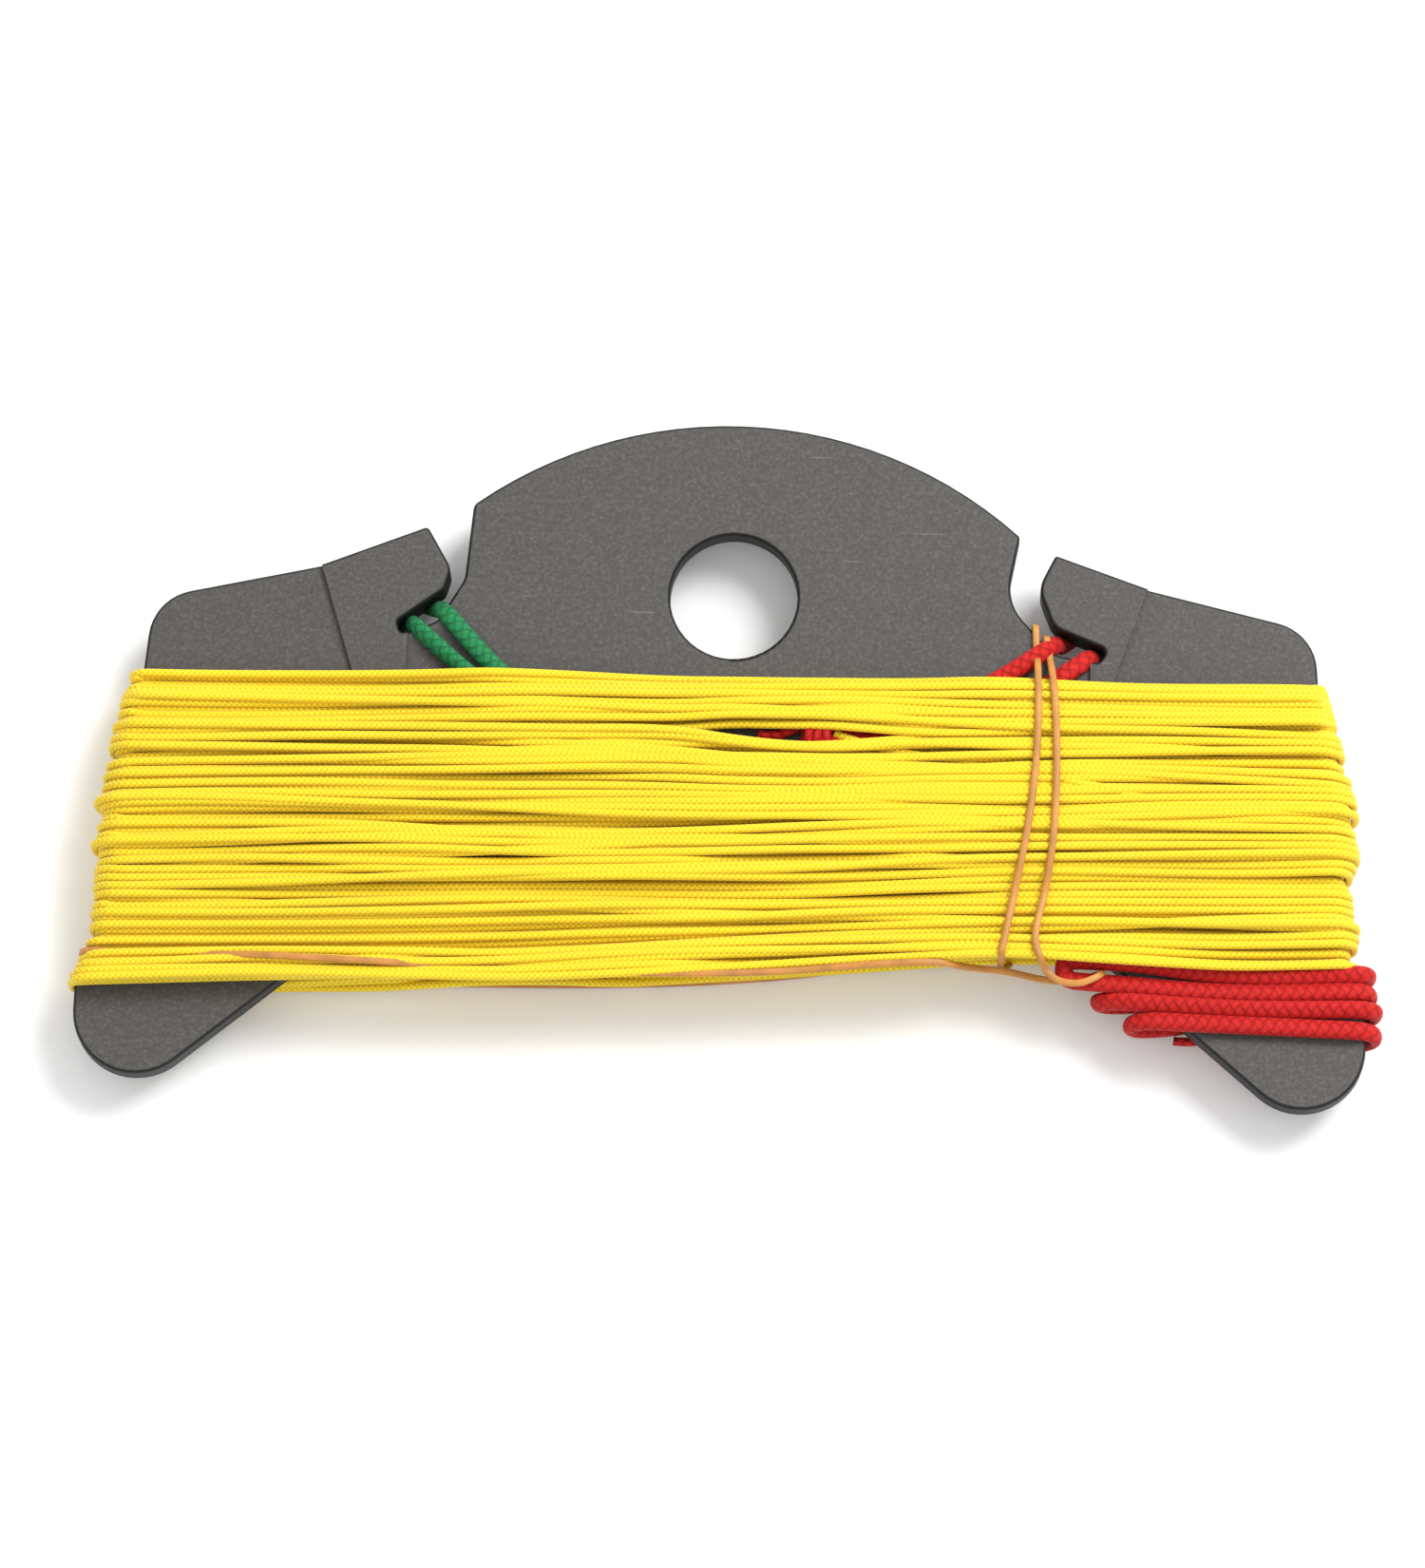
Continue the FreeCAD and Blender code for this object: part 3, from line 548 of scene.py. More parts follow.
def braided_cord(name, colour, length, crosses, depth, sheen):
    """Braided filament: painted highlight on the ridges and painted shade in the crossings, with
    fine fibres on top.
    """
    made = Shader(name)
    where = made.node("ShaderNodeTexCoord").outputs["Object"]
    height = braid(made, length, crosses)
    fibre = made.noise(where, 3200.0, 2.0)
    patch = made.noise(where, 60.0, 3.0)
    raised = made.maths("ADD", height, made.level(fibre, -0.15, 0.15))
    # Painted highlight on the raised ridges and painted shade in the crossings, from the braid's
    # height.
    tone = made.ramp(
        raised,
        (0.05, shade(colour, 0.62)),
        (0.55, shade(colour, 1.0)),
        (1.00, shade([c + 0.004 for c in colour], 1.15)),
    )
    # Random patches of wear darken and lighten it, on top of the painted highlight and shade.
    painted_light_and_wear = made.blend("MULTIPLY", tone, made.level(patch, 0.88, 1.06))
    made.feed(made.surface.inputs["Base Color"], painted_light_and_wear)
    made.feed(made.surface.inputs["Roughness"], made.level(fibre, 0.60, 0.85))
    made.surface.inputs["Specular IOR Level"].default_value = 0.25
    made.feed(made.surface.inputs["Normal"], made.bump(raised, depth, 0.9))
    made.surface.inputs["Sheen Weight"].default_value = sheen
    made.surface.inputs["Sheen Roughness"].default_value = 0.4
    return made.material


def natural_rubber(settings):
    """Tan rubber, cloudy and faintly streaked where it is stretched."""
    made = Shader("natural rubber")
    where = made.node("ShaderNodeTexCoord").outputs["Object"]
    cloud = made.noise(where, 260.0, 3.0)
    fine = made.noise(where, 2600.0, 2.0)
    tone = made.ramp(
        cloud,
        (0.30, shade(settings.colour, 0.80)),
        (0.70, shade(settings.colour, 1.15)),
    )
    made.feed(made.surface.inputs["Base Color"], tone)
    made.feed(made.surface.inputs["Roughness"], made.level(fine, 0.40, 0.60))
    made.feed(made.surface.inputs["Normal"], made.bump(fine, 0.00003, 0.4))
    made.surface.inputs["Subsurface Weight"].default_value = 0.15
    made.surface.inputs["Subsurface Radius"].default_value = (0.0008, 0.0004, 0.0002)
    return made.material


def floor_paint(settings):
    """Plain pale floor with barely any tooth."""
    made = Shader("pale floor")
    where = made.node("ShaderNodeTexCoord").outputs["Object"]
    tooth = made.noise(where, 300.0, 2.0)
    made.surface.inputs["Base Color"].default_value = (*settings.floor, 1.0)
    made.feed(made.surface.inputs["Roughness"], made.level(tooth, 0.70, 0.80))
    return made.material


# ---------------------------------------------------------------- cords as tubes
def spline_points(name, points, resolution=4):
    """The points of the smooth spline that the route's points control."""
    curve = bpy.data.curves.new(name + " route", "CURVE")
    curve.dimensions = "3D"
    curve.resolution_u = resolution
    spline = curve.splines.new("NURBS")
    spline.points.add(len(points) - 1)
    for point, place in zip(spline.points, points):
        point.co = (*place, 1.0)
    spline.order_u = 3
    spline.use_endpoint_u = True
    holder = bpy.data.objects.new(name + " route", curve)
    mesh = bpy.data.meshes.new_from_object(holder)
    places = np.array([vertex.co for vertex in mesh.vertices])
    bpy.data.meshes.remove(mesh)
    bpy.data.objects.remove(holder)
    bpy.data.curves.remove(curve)
    return places


def frames_along(places):
    """A direction and a side for each point, carried along without twisting."""
    ahead = np.gradient(places, axis=0)
    ahead /= np.linalg.norm(ahead, axis=1)[:, None]
    side = np.cross(ahead[0], (0.0, 0.0, 1.0))
    if np.linalg.norm(side) < 0.1:
        side = np.cross(ahead[0], (0.0, 1.0, 0.0))
    sides = []
    for way in ahead:
        side = side - way * np.dot(side, way)
        side /= np.linalg.norm(side)
        sides.append(side)
    return ahead, np.array(sides)


def tube_mesh(name, places, section):
    """Sweeps a section, points of (across, up), along the places, with its own UVs."""
    ahead, sides = frames_along(places)
    ups = np.cross(sides, ahead)
    rings = [places + sides * across + ups * up for across, up in section]
    count = len(section)
    total = len(places)
    vertices = np.stack(rings, axis=1).reshape(-1, 3)
    faces = []
    for ring in range(total - 1):
        for corner in range(count):
            beside = (corner + 1) % count
            faces.append(
                (
                    ring * count + corner,
                    ring * count + beside,
                    (ring + 1) * count + beside,
                    (ring + 1) * count + corner,
                )
            )
    faces.append(tuple(range(count)))
    faces.append(tuple((total - 1) * count + corner for corner in reversed(range(count))))
    mesh = bpy.data.meshes.new(name)
    mesh.from_pydata(vertices.tolist(), [], faces)
    steps = np.linalg.norm(np.diff(places, axis=0), axis=1)
    along = np.concatenate([[0.0], np.cumsum(steps)])
    layer = mesh.uv_layers.new(name="cord")
    uvs = np.zeros((len(mesh.loops), 2))
    spot = 0
    for ring in range(total - 1):
        for corner in range(count):
            left, right = corner / count, (corner + 1) / count
            uvs[spot : spot + 4] = (
                (along[ring], left),
                (along[ring], right),
                (along[ring + 1], right),
                (along[ring + 1], left),
            )
            spot += 4
    layer.data.foreach_set("uv", uvs.ravel())
    mesh.shade_smooth()
    return mesh


def round_section(diameter, sides):
    """A round section, as points of (across, up)."""
    turn = 2 * math.pi / sides
    return [
        (diameter / 2 * math.cos(turn * n), diameter / 2 * math.sin(turn * n))
        for n in range(sides)
    ]


def flat_section(width, thickness, sides=12, squareness=0.6):
    """A flat section with rounded edges, squarer the lower the last number is."""
    points = []
    for n in range(sides):
        turn = math.tau * n / sides
        across = math.copysign(abs(math.cos(turn)) ** squareness, math.cos(turn))
        up = math.copysign(abs(math.sin(turn)) ** squareness, math.sin(turn))
        points.append((width / 2 * across, thickness / 2 * up))
    return points


def show(name, mesh, material, slot, *nodes):
    """Puts a finished mesh in the scene, in place of its CAD nodes."""
    mesh.materials.append(material)
    made = bpy.data.objects.new(name, mesh)
    bpy.context.scene.collection.objects.link(made)
    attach(made, "root")
    if nodes:
        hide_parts(*nodes)
    return made


# ---------------------------------------------------------------- laying the turns
class Plate:
    """What the turns need to know of the plate, measured on the CAD part."""

    # Places off the plate that it is measured from, and the radius of its edges.
    ABOVE = (0.0, -0.03, 0.05)
    BESIDE = 0.15
    CORNER = 0.0006

    def __init__(self):
        self.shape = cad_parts["winder_plate"]
        self.half_thickness = self.reach(self.ABOVE, (0, 0, -1)).z

    def reach(self, start, way):
        """Where the plate is met from a place outside it."""
        hit, place, _, _ = self.shape.ray_cast(Vector(start), Vector(way))
        if not hit:
            raise RuntimeError(f"the plate isn't where the turns need it, at {start}")
        return place

    def half_width(self, y):
        """From the middle to the right edge, which the left edge mirrors."""
        return self.reach((self.BESIDE, y, 0.0), (-1, 0, 0)).x


class Winding:
    """Turns laid one after another, each resting on those already there."""

    # Stations across each face, and the angles of those round an edge and on the faces.
    LEVELS = 25
    EDGE = (25.0, 65.0, 90.0, 115.0, 155.0)
    FACES = (0.0, 180.0)
    # How near strands lie, as a share of touching, and how high they build up on a face.
    SQUASH = 0.92
    FACE_BUILD = 0.0043
    # How far a strand slips on a face, in radii, and how hard it is to slip there and at an edge.
    FACE_SLIP = 0.6
    FACE_HOLD = 0.5
    EDGE_HOLD = 0.25
    TRIES = 10
    # How far below its resting height a taut strand may be drawn, in radii.
    SINK = 0.25
    # The plate's width is measured once for each of these steps down it.
    WIDTH_STEP = 0.0005
    # A sleeve this far out of the plate's middle lies on a face.
    ON_FACE = 0.0015

    def __init__(self, plate, diameter, seed):
        self.plate = plate
        self.radius = diameter / 2
        self.chance = random.Random(seed)
        across = [2 * n / (self.LEVELS - 1) - 1 for n in range(self.LEVELS)]
        self.stations = [(q, 0.0) for q in across]
        self.stations += [(1.0, angle) for angle in self.EDGE]
        self.stations += [(-q, 180.0) for q in across]
        self.stations += [(-1.0, angle + 180.0) for angle in self.EDGE]
        self.right_edge = self.LEVELS + len(self.EDGE) // 2
        self.left_edge = len(self.stations) - 1 - len(self.EDGE) // 2
        self.laid = [[] for _ in self.stations]
        self.half_widths = {}

    def half_width(self, y):
        """The plate's half width, kept for each step down it."""
        step = round(y / self.WIDTH_STEP)
        if step not in self.half_widths:
            self.half_widths[step] = self.plate.half_width(step * self.WIDTH_STEP)
        return self.half_widths[step]

    def place(self, station, y, height):
        """A point this far off the plate's surface at a station."""
        q, angle = station
        turn = math.radians(angle)
        inset = self.plate.CORNER
        centre_x = q * (self.half_width(y) - inset)
        facing = math.cos(turn)
        centre_z = 0.0
        if abs(facing) > 0.01:
            centre_z = math.copysign(self.plate.half_thickness - inset, facing)
        off = inset + height
        return (centre_x + off * math.sin(turn), y, centre_z + off * facing)

    def rest(self, index, y):
        """How high a strand's middle must be at a station to clear what lies there."""
        height = self.radius
        for other_y, other_height, other_radius in self.laid[index]:
            reach = (self.radius + other_radius) * self.SQUASH
            gap = abs(y - other_y)
            if gap < reach:
                height = max(height, other_height + math.sqrt(reach**2 - gap**2))
        return height

    def groove(self, index, y, reach, hold):
        """The sideways move, within reach, that lets a strand sink lowest."""
        best = None
        for step in range(-self.TRIES, self.TRIES + 1):
            shift = step * reach / self.TRIES
            cost = self.rest(index, y + shift) + abs(shift) * hold
            if best is None or cost < best[0]:
                best = (cost, shift)
        return best[1]

    def settle(self, side, y, slip):
        """Where a strand slips to as it is pulled tight round an edge."""
        index = self.right_edge if side > 0 else self.left_edge
        y += self.groove(index, y, slip * self.radius, self.EDGE_HOLD)
        return min(side_height(0.0, side), max(side_height(1.0, side), y))

    def lay(self, run):
        """Lays a run of (station index, y) and returns its points."""
        shifts = []
        for index, y in run:
            shift = 0.0
            if self.stations[index][1] in self.FACES:
                shift = self.groove(index, y, self.FACE_SLIP * self.radius, self.FACE_HOLD)
            shifts.append(shift)
        ys = np.array([y for _, y in run]) + smoothed(shifts, 2)
        ys = np.maximum(ys, [self.foot(index) for index, _ in run])
        raw = np.array([self.rest(index, y) for (index, _), y in zip(run, ys)])
        heights = np.maximum(smoothed(raw, 2), raw - self.SINK * self.radius)
        heights = np.minimum(heights, [self.fullest(i, y) for (i, _), y in zip(run, ys)])
        points = []
        for (index, _), y, height in zip(run, ys, heights):
            self.laid[index].append((y, height, self.radius))
            points.append(self.place(self.stations[index], y, height))
        return points

    def fullest(self, index, y):
        """How high a strand may stand where the turns are pulled tightest."""
        if self.stations[index][1] in self.FACES:
            return self.FACE_BUILD
        reach = np.interp(-y / MM, EDGE_DROP, EDGE_REACH) * MM
        return max(self.radius, reach - self.radius - self.half_width(y))

    def foot(self, index):
        """The lowest a strand may lie at a station."""
        q = self.stations[index][0]
        left, right = side_height(1.0, -1), side_height(1.0, 1)
        y = left + (right - left) * (q + 1) / 2
        front = self.stations[index][1] < 90.0
        return drawn_aside(q * HALF_ACROSS, y, 1.0, front)

    def block(self, places, radius):
        """Marks where a sleeve or knot lies, so that the turns ride over it."""
        for index, (q, angle) in enumerate(self.stations):
            if angle not in self.FACES:
                continue
            face = 1 if angle == 0.0 else -1
            for start, end in zip(places, places[1:]):
                middle = (start + end) / 2
                if middle[2] * face < self.ON_FACE:
                    continue
                x = q * self.half_width(middle[1])
                low, high = sorted((start[0], end[0]))
                if low <= x < high:
                    height = abs(middle[2]) - self.plate.half_thickness
                    self.laid[index].append((middle[1], height, radius))


def smoothed(values, passes):
    """Values in a row, each drawn towards its neighbours, with the ends held."""
    values = np.array(values, float)
    for _ in range(passes):
        padded = np.concatenate([values[:1], values, values[-1:]])
        values = padded[:-2] * 0.25 + padded[1:-1] * 0.5 + padded[2:] * 0.25
    return values


# The half width over which a strand's height is worked out.
HALF_ACROSS = 0.093

# The top and foot of the winding at each side, in millimetres below the finger hole's middle.
TOP_LEFT, TOP_RIGHT = 15.7, 12.2
FOOT_LEFT, FOOT_RIGHT = 65.3, 56.5

# Where the turns part, in millimetres: across, height, half length, half height.
PARTINGS = (
    (10.0, -22.6, 17.0, 1.5),
    (-7.0, -24.4, 12.0, 0.5),
)

# How squarely a parting ends, and over how many millimetres it fades out above and below.
PARTING_ENDS = 1.8
PARTING_FADE = 5.0

# How the lowest turns hang and are gathered up by the band, in front and behind, in
# millimetres: across, lift. Only the lowest share of the turns is moved.
SAG_SHARE = 0.25
SAG = (
    (-99.0, 0.0),
    (-67.0, 0.7),
    (-29.0, -0.8),
    (6.0, 0.4),
    (43.0, 2.3),
    (57.0, 0.9),
    (75.0, -0.5),
    (98.0, -0.2),
)
SAG_BEHIND = (
    (-99.0, 0.0),
    (-67.0, 1.0),
    (-29.0, 0.4),
    (6.0, 1.9),
    (43.0, 4.0),
    (57.0, 3.2),
    (98.0, 0.0),
)

# How far out the turns stand at the sides, in millimetres: depth, distance from the middle.
EDGE_DROP = (12.0, 20.0, 32.0, 60.0, 66.0)
EDGE_REACH = (93.2, 95.6, 98.8, 99.4, 101.2)

# Slow waves that neighbouring turns share: size in millimetres, waves across the winding, waves
# in WAVE_DEPTH down it, start. Behind the plate, each turn's waves start later.
WAVE_DEPTH = 0.05
BEHIND_LATER = 2.0
SHARED_WAVES = (
    (0.28, 1.1, 0.9, 0.4),
    (0.20, 1.9, -1.7, 2.1),
    (0.12, 3.1, 3.0, 4.4),
)


def side_height(fraction, side):
    """The height on the left (-1) or right (+1) edge, for a fraction from top to foot."""
    if side < 0:
        depth = TOP_LEFT + fraction * (FOOT_LEFT - TOP_LEFT)
    else:
        depth = TOP_RIGHT + fraction * (FOOT_RIGHT - TOP_RIGHT)
    return -depth * MM


def wave_at(q, y, phase):
    """The slow wave that the turns at this height share, begun a little apart for each."""
    down = -y / WAVE_DEPTH
    total = 0.0
    for size, across, ways_down, start in SHARED_WAVES:
        total += size * math.sin(across * q * math.pi + ways_down * down * math.tau + start + phase)
    return total * math.sqrt(max(0.0, math.cos(q * math.pi / 2))) * MM


def drawn_aside(x, y, fraction, front=True):
    """The height of a strand once the parting (on the front) and the band have moved it."""
    x_mm, y_mm = x / MM, y / MM
    shift = 0.0
    for across, depth, half_length, half_height in PARTINGS if front else ():
        off = (x_mm - across) / half_length
        away = y_mm - depth
        swell = half_height * math.exp(-PARTING_ENDS * off**4)
        shift += math.copysign(swell * math.exp(-abs(away) / PARTING_FADE), away)
    low = max(0.0, 1.0 - (1.0 - fraction) / SAG_SHARE)
    sag = SAG if front else SAG_BEHIND
    lift = np.interp(x_mm, [point[0] for point in sag], [point[1] for point in sag])
    shift += float(lift) * low * low
    return y + shift * MM


# How a turn strays at an edge, as shares of the way from top to foot: every turn a little, and
# some of those between the first and last tenth by much more, so that they cross others.
JITTER = 0.003
CROSSING_CHANCE = 0.16
CROSSING_BETWEEN = (0.1, 0.9)
CROSSING_BY = (0.04, 0.14)

# How far apart neighbouring turns begin their waves, and the room left beside a knot.
OWN_WAVE = 0.25
KNOT_ROOM = 0.004

# How far each line slips into grooves at the edges, in radii of the line.
GREEN_SLIP = 2.6
RED_SLIP = 1.0

# Out of every 51 turns, how many are laid downwards. The others are laid upwards.
GREEN_DOWN, RED_DOWN, OUT_OF = 31, 36, 51


def lay_line(winding, fractions, slip, start, end):
    """One line from its start knot, round and round the plate, to its end knot."""
    chance = winding.chance
    stations = winding.stations
    levels, edge = winding.LEVELS, len(winding.EDGE)
    first, last_crossing = CROSSING_BETWEEN
    points = [tuple(start)]

    def strayed(fraction, side):
        """Where a turn goes round an edge."""
        stray = chance.gauss(0, JITTER)
        if chance.random() < CROSSING_CHANCE and first < fraction < last_crossing:
            stray += chance.choice((-1, 1)) * chance.uniform(*CROSSING_BY)
        return winding.settle(side, side_height(min(1.0, max(0.0, fraction + stray)), side), slip)

    left = strayed(fractions[0], -1)
    last = len(fractions) - 1
    for number, fraction in enumerate(fractions):
        right = strayed(fraction, 1)
        run = []
        own = chance.gauss(0, OWN_WAVE)
        for index in range(levels):
            q = stations[index][0]
            x = q * HALF_ACROSS
            y = left + (right - left) * (q + 1) / 2
            if number == 0:
                if x < start[0] + KNOT_ROOM:
                    continue
                y = start[1] + (right - start[1]) * (x - start[0]) / (HALF_ACROSS - start[0])
            run.append((index, drawn_aside(x, y + wave_at(q, y, own), fraction)))
        run += [(levels + step, right) for step in range(edge)]
        if number == last:
            for step in range(levels):
                index = levels + edge + step
                x = stations[index][0] * HALF_ACROSS
                if x < end[0] + KNOT_ROOM:
                    break
                y = right + (end[1] - right) * (HALF_ACROSS - x) / (HALF_ACROSS - end[0])
                run.append((index, y))
            points += winding.lay(run)
            break
        left = strayed(fractions[number + 1], -1)
        for step in range(levels):
            index = levels + edge + step
            q = stations[index][0]
            y = right + (left - right) * (1 - q) / 2
            y += wave_at(q, y, own + BEHIND_LATER)
            run.append((index, drawn_aside(q * HALF_ACROSS, y, fraction, front=False)))
        run += [(2 * levels + edge + step, left) for step in range(edge)]
        points += winding.lay(run)
    points.append(tuple(end))
    return points


def spread(first, last, count):
    """Evenly spaced numbers, with both ends."""
    return [first + (last - first) * n / (count - 1) for n in range(count)]


def show_line(name, node, points, settings, material):
    places = spline_points(name, points, resolution=3)
    mesh = tube_mesh(name, places, round_section(settings.diameter, sides=8))
    made = show(name, mesh, material, "line", node)


class WINDER_OT_line(Operator):
    """Wind both lines on the plate"""

    bl_idname = "winder.line"
    bl_label = "Wind the lines"

    def execute(self, context):
        settings = context.scene.winder_line
        sleeve = context.scene.winder_sleeve
        winding = Winding(Plate(), settings.diameter, settings.seed)
        for name, places, _ in sleeve_routes():
            winding.block(spline_points(name, places), sleeve.diameter / 2)
        for name, place in KNOT_PLACES.items():
            x, y, z = [value * MM for value in place]
            ends = [(x - KNOT_HALF_LENGTH, y, z), (x + KNOT_HALF_LENGTH, y, z)]
            winding.block(np.array(ends), KNOT_RADIUS)
        material = braided_cord(
            "yellow braid",
            settings.colour,
            settings.braid,
            crosses=4,
            depth=0.00007,
            sheen=0.15,
        )
        turns = settings.turns
        down = turns * GREEN_DOWN // OUT_OF
        green = spread(0.0, 0.97, down) + spread(0.94, 0.30, turns - down)
        green_points = lay_line(
            winding,
            green,
            GREEN_SLIP,
            knot_end("green_start_knot"),
            knot_end("green_end_knot"),
        )
        down = turns * RED_DOWN // OUT_OF
        red = spread(0.55, 0.08, turns - down) + spread(0.0, 1.0, down)
        red_points = lay_line(
            winding,
            red,
            RED_SLIP,
            knot_end("red_start_knot"),
            RED_LINE_LEAVES,
        )
        red_points += in_metres(RED_LINE_TAIL)
        show_line("green_line", "green_line_winding", green_points, settings, material)
        show_line("red_line", "red_line_winding", red_points, settings, material)
        return {"FINISHED"}


def knot_points(place, beyond):
    """Three wraps round the two strands, drawn up tight, and a short tail beyond them."""
    x, y, z = [value * MM for value in place]
    aside, out = WRAP_REACH
    steps = KNOT_WRAPS * WRAP_STEPS
    points = []
    for step in range(steps + 1):
        turn = math.tau * step / WRAP_STEPS
        along = (step / steps - 0.5) * WRAPS_LENGTH * beyond
        points.append((x + along, y + aside * math.cos(turn), z + out * math.sin(turn)))
    face = math.copysign(1.0, z)
    for ahead, aside, drop in KNOT_TAIL:
        points.append((x + ahead * MM * beyond, y + aside * MM, z - drop * MM * face))
    return points


class WINDER_OT_sleeves(Operator):
    """Make the sleeved loops and their stopper knots"""

    bl_idname = "winder.sleeves"
    bl_label = "Make the sleeves"

    def execute(self, context):
        settings = context.scene.winder_sleeve
        materials = {
            colour: braided_cord(
                f"{colour} braided sleeve",
                getattr(settings, colour),
                settings.braid,
                crosses=4,
                depth=0.00016,
                sheen=0.05,
            )
            for colour in ("red", "green")
        }
        for name, route, colour in sleeve_routes():
            places = spline_points(name, route, resolution=12)
            round_one = round_section(settings.diameter, sides=20)
            section = [(across * settings.flat, up) for across, up in round_one]
            mesh = tube_mesh(name + "_cord", places, section)
            made = show(name + "_cord", mesh, materials[colour], colour + "_sleeve", name)
        for name, place in KNOT_PLACES.items():
            colour = name.split("_")[0]
            beyond = 1 if place[0] > KNOT_SLEEVE_FROM[name] else -1
            places = spline_points(name, knot_points(place, beyond), resolution=8)
            section = round_section(settings.wrap, sides=14)
            mesh = tube_mesh(name + "_wraps", places, section)
            show(name + "_wraps", mesh, materials[colour], colour + "_sleeve", name)
        return {"FINISHED"}


# Out of the plate's middle by this much, the band is on a face.
BAND_ON_FACE = 0.0022

# How many points either way count as near, where the band is laid over bumps.
BAND_NEAR = 3

# The band's lower run dips under the last turns: below this height, how deep across.
UNDER_Y = -0.0595
UNDER_ACROSS = (-0.080, -0.074, -0.050, -0.044, 0.040)
UNDER_DEPTH = (0.0020, 0.0004, 0.0004, 0.0016, 0.0004)


def cover_height(covers, x, y, face, beyond=0.03):
    """How far out of the plate's middle the things under a point reach, on one face."""
    best = 0.0
    for cover in covers:
        hit, place, _, _ = cover.ray_cast(Vector((x, y, face * beyond)), Vector((0, 0, -face)))
        if hit:
            best = max(best, place.z * face)
    return best


def bedded(places, covers, settings):
    """The band's path, lifted to lie on the turns and the plate where it is on a face."""
    half = settings.width / 2
    lifted = places.copy()
    for face in (1, -1):
        on_face = [n for n, place in enumerate(places) if place[2] * face > BAND_ON_FACE]
        rises = {}
        for n in on_face:
            x, y, _ = places[n]
            spots = [(x + dx, y + dy) for dx in (-half, 0, half) for dy in (-half, 0, half)]
            rises[n] = max(cover_height(covers, sx, sy, face) for sx, sy in spots)
        for n in on_face:
            if not rises[n]:
                continue
            around = range(n - BAND_NEAR, n + BAND_NEAR + 1)
            near = [rises[m] for m in around if rises.get(m)]
            rise = 0.5 * max(near) + 0.5 * sum(near) / len(near) + settings.thickness / 2
            x, y, _ = places[n]
            if face > 0 and y < UNDER_Y:
                rise -= float(np.interp(x, UNDER_ACROSS, UNDER_DEPTH))
            lifted[n][2] = face * rise
    return lifted


class WINDER_OT_band(Operator):
    """Stretch the rubber band round the turns and the red loop"""

    bl_idname = "winder.band"
    bl_label = "Stretch the band"

    def execute(self, context):
        settings = context.scene.winder_band
        route = in_metres(BAND_ROUTE)
        middle = tuple((a + b) / 2 for a, b in zip(route[0], route[-1]))
        places = spline_points("rubber_band", [middle, *route, middle], resolution=10)
        context.view_layer.update()
        covers = [bpy.data.objects["green_line"], bpy.data.objects["red_line"]]
        covers.append(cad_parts["winder_plate"])
        places = bedded(places, covers, settings)
        places = np.stack([smoothed(column, 3) for column in places.T], axis=1)
        section = flat_section(settings.width, settings.thickness)
        mesh = tube_mesh("rubber_band_ring", places, section)
        rubber = natural_rubber(settings)
        show("rubber_band_ring", mesh, rubber, "band", "rubber_band")
        return {"FINISHED"}


class WINDER_OT_plate(Operator):
    """Give the moulded plate its grained plastic"""

    bl_idname = "winder.plate"
    bl_label = "Finish the plate"

    def execute(self, context):
        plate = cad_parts["winder_plate"]
        plate.data.materials.clear()
        plate.data.materials.append(plate_plastic(context.scene.winder_plate))
        return {"FINISHED"}


# ---------------------------------------------------------------- the stage
CAMERA_TARGET = (-0.0023, -0.0298, 0.0)
FLOOR_HALF_SIZE = 3.0
FLOOR_GAP = 0.0001


class WINDER_OT_camera(Operator):
    """Set the camera over the winder"""

    bl_idname = "winder.camera"
    bl_label = "Set the camera"

    def execute(self, context):
        settings = context.scene.winder_stage
        target = Vector(CAMERA_TARGET)
        away = Vector(
            (
                math.sin(settings.yaw) * math.cos(settings.tilt),
                -math.sin(settings.tilt),
                math.cos(settings.yaw) * math.cos(settings.tilt),
            )
        ).normalized()
        right = Vector((0, 1, 0)).cross(away).normalized()
        up = away.cross(right)
        turned_right = right * math.cos(settings.roll) + up * math.sin(settings.roll)
        turned_up = up * math.cos(settings.roll) - right * math.sin(settings.roll)
        data = bpy.data.cameras.new("camera")
        data.sensor_fit = "VERTICAL"
        data.sensor_height = 36.0
        data.lens = settings.lens
        data.clip_end = 10.0
        camera = bpy.data.objects.new("camera", data)
        axes = Matrix((turned_right, turned_up, away)).transposed().to_4x4()
        camera.matrix_world = Matrix.Translation(target + away * settings.distance) @ axes
        context.scene.collection.objects.link(camera)
        context.scene.camera = camera
        return {"FINISHED"}


def add_light(name, place, size, power, target):
    """A square soft light aimed at the winder."""
    data = bpy.data.lights.new(name, "AREA")
    data.shape = "SQUARE"
    data.size = size
    data.energy = power
    light = bpy.data.objects.new(name, data)
    light.location = place
    light.rotation_euler = (Vector(target) - Vector(place)).to_track_quat("-Z", "Y").to_euler()
    bpy.context.scene.collection.objects.link(light)


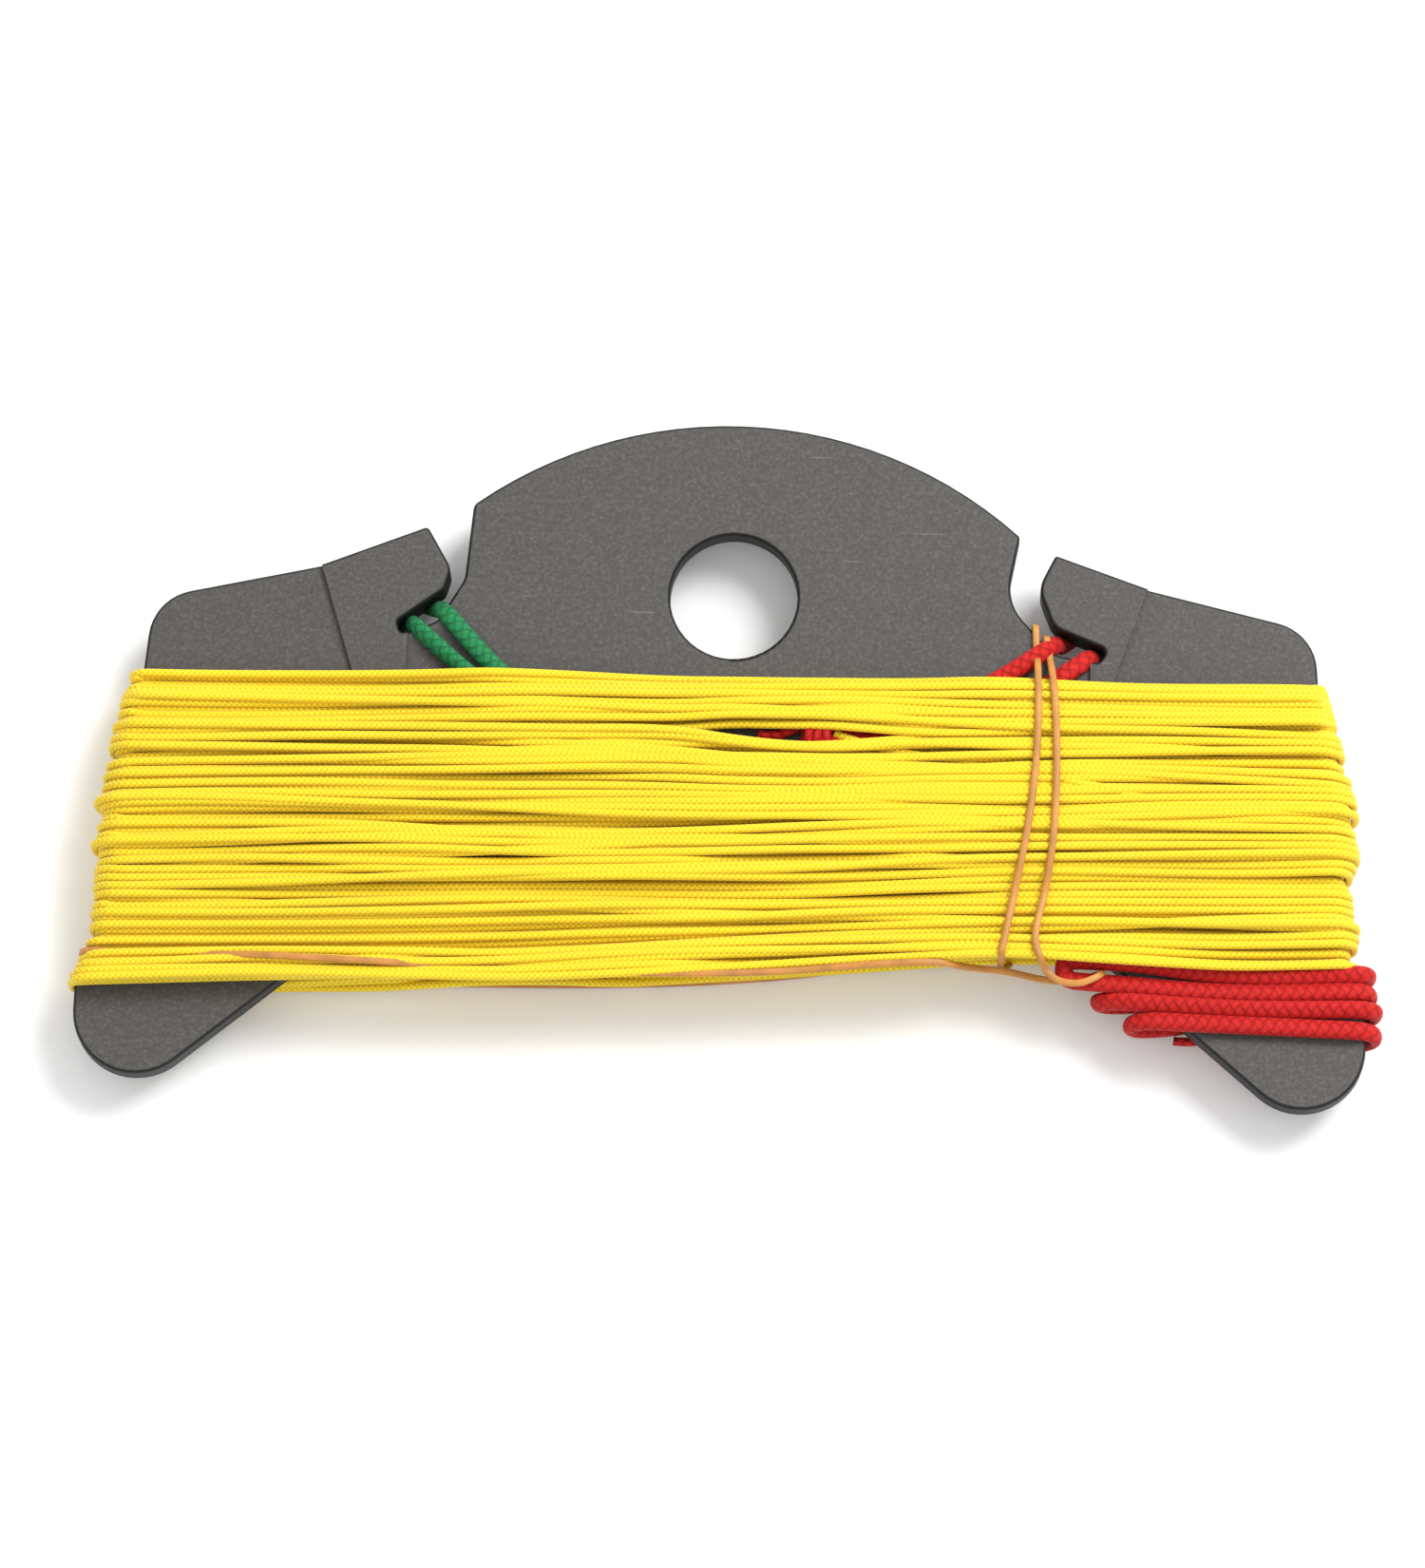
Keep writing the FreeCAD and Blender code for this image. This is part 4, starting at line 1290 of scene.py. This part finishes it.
class WINDER_OT_stage(Operator):
    """Lay the pale floor and hang the soft lights"""

    bl_idname = "winder.stage"
    bl_label = "Set the stage"

    def execute(self, context):
        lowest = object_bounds()[0].z
        mesh = bpy.data.meshes.new("floor")
        half = FLOOR_HALF_SIZE
        corners = [(-half, -half, 0), (half, -half, 0), (half, half, 0), (-half, half, 0)]
        mesh.from_pydata(corners, [], [(0, 1, 2, 3)])
        mesh.materials.append(floor_paint(context.scene.winder_stage))
        floor = bpy.data.objects.new("floor", mesh)
        floor.location = (0, 0, lowest - FLOOR_GAP)
        context.scene.collection.objects.link(floor)
        floor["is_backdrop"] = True
        world = bpy.data.worlds.new("studio")
        world.use_nodes = True
        background = world.node_tree.nodes["Background"]
        background.inputs["Color"].default_value = (1, 1, 1, 1)
        background.inputs["Strength"].default_value = 1.0
        context.scene.world = world
        context.scene.view_settings.view_transform = "Standard"
        add_light("key", place=(0.50, 0.45, 0.80), size=0.50, power=11.0, target=(0, -0.03, 0))
        return {"FINISHED"}


class WINDER_PT_panel(Panel):
    """The winder's settings and steps"""

    bl_idname = "WINDER_PT_panel"
    bl_label = "Hand Line Winder"
    bl_space_type = "VIEW_3D"
    bl_region_type = "UI"
    bl_category = "Winder"

    def draw(self, context):
        for name, group in SETTINGS.items():
            box = self.layout.box()
            box.label(text=group.__doc__)
            for key in group.__annotations__:
                box.prop(getattr(context.scene, name), key)
        for step in STEPS:
            self.layout.operator(step.bl_idname)


STEPS = (
    WINDER_OT_camera,
    WINDER_OT_line,
    WINDER_OT_sleeves,
    WINDER_OT_band,
    WINDER_OT_plate,
    WINDER_OT_stage,
)
CLASSES = (*SETTINGS.values(), *STEPS, WINDER_PT_panel)


def register():
    for each in CLASSES:
        bpy.utils.register_class(each)
    for name, group in SETTINGS.items():
        setattr(bpy.types.Scene, name, PointerProperty(type=group))


def unregister():
    for name in SETTINGS:
        delattr(bpy.types.Scene, name)
    for each in reversed(CLASSES):
        bpy.utils.unregister_class(each)


def main():
    register()
    bpy.ops.winder.camera()
    bpy.ops.winder.line()
    bpy.ops.winder.sleeves()
    bpy.ops.winder.band()
    bpy.ops.winder.plate()
    bpy.ops.winder.stage()


if __name__ == "__main__":
    main()
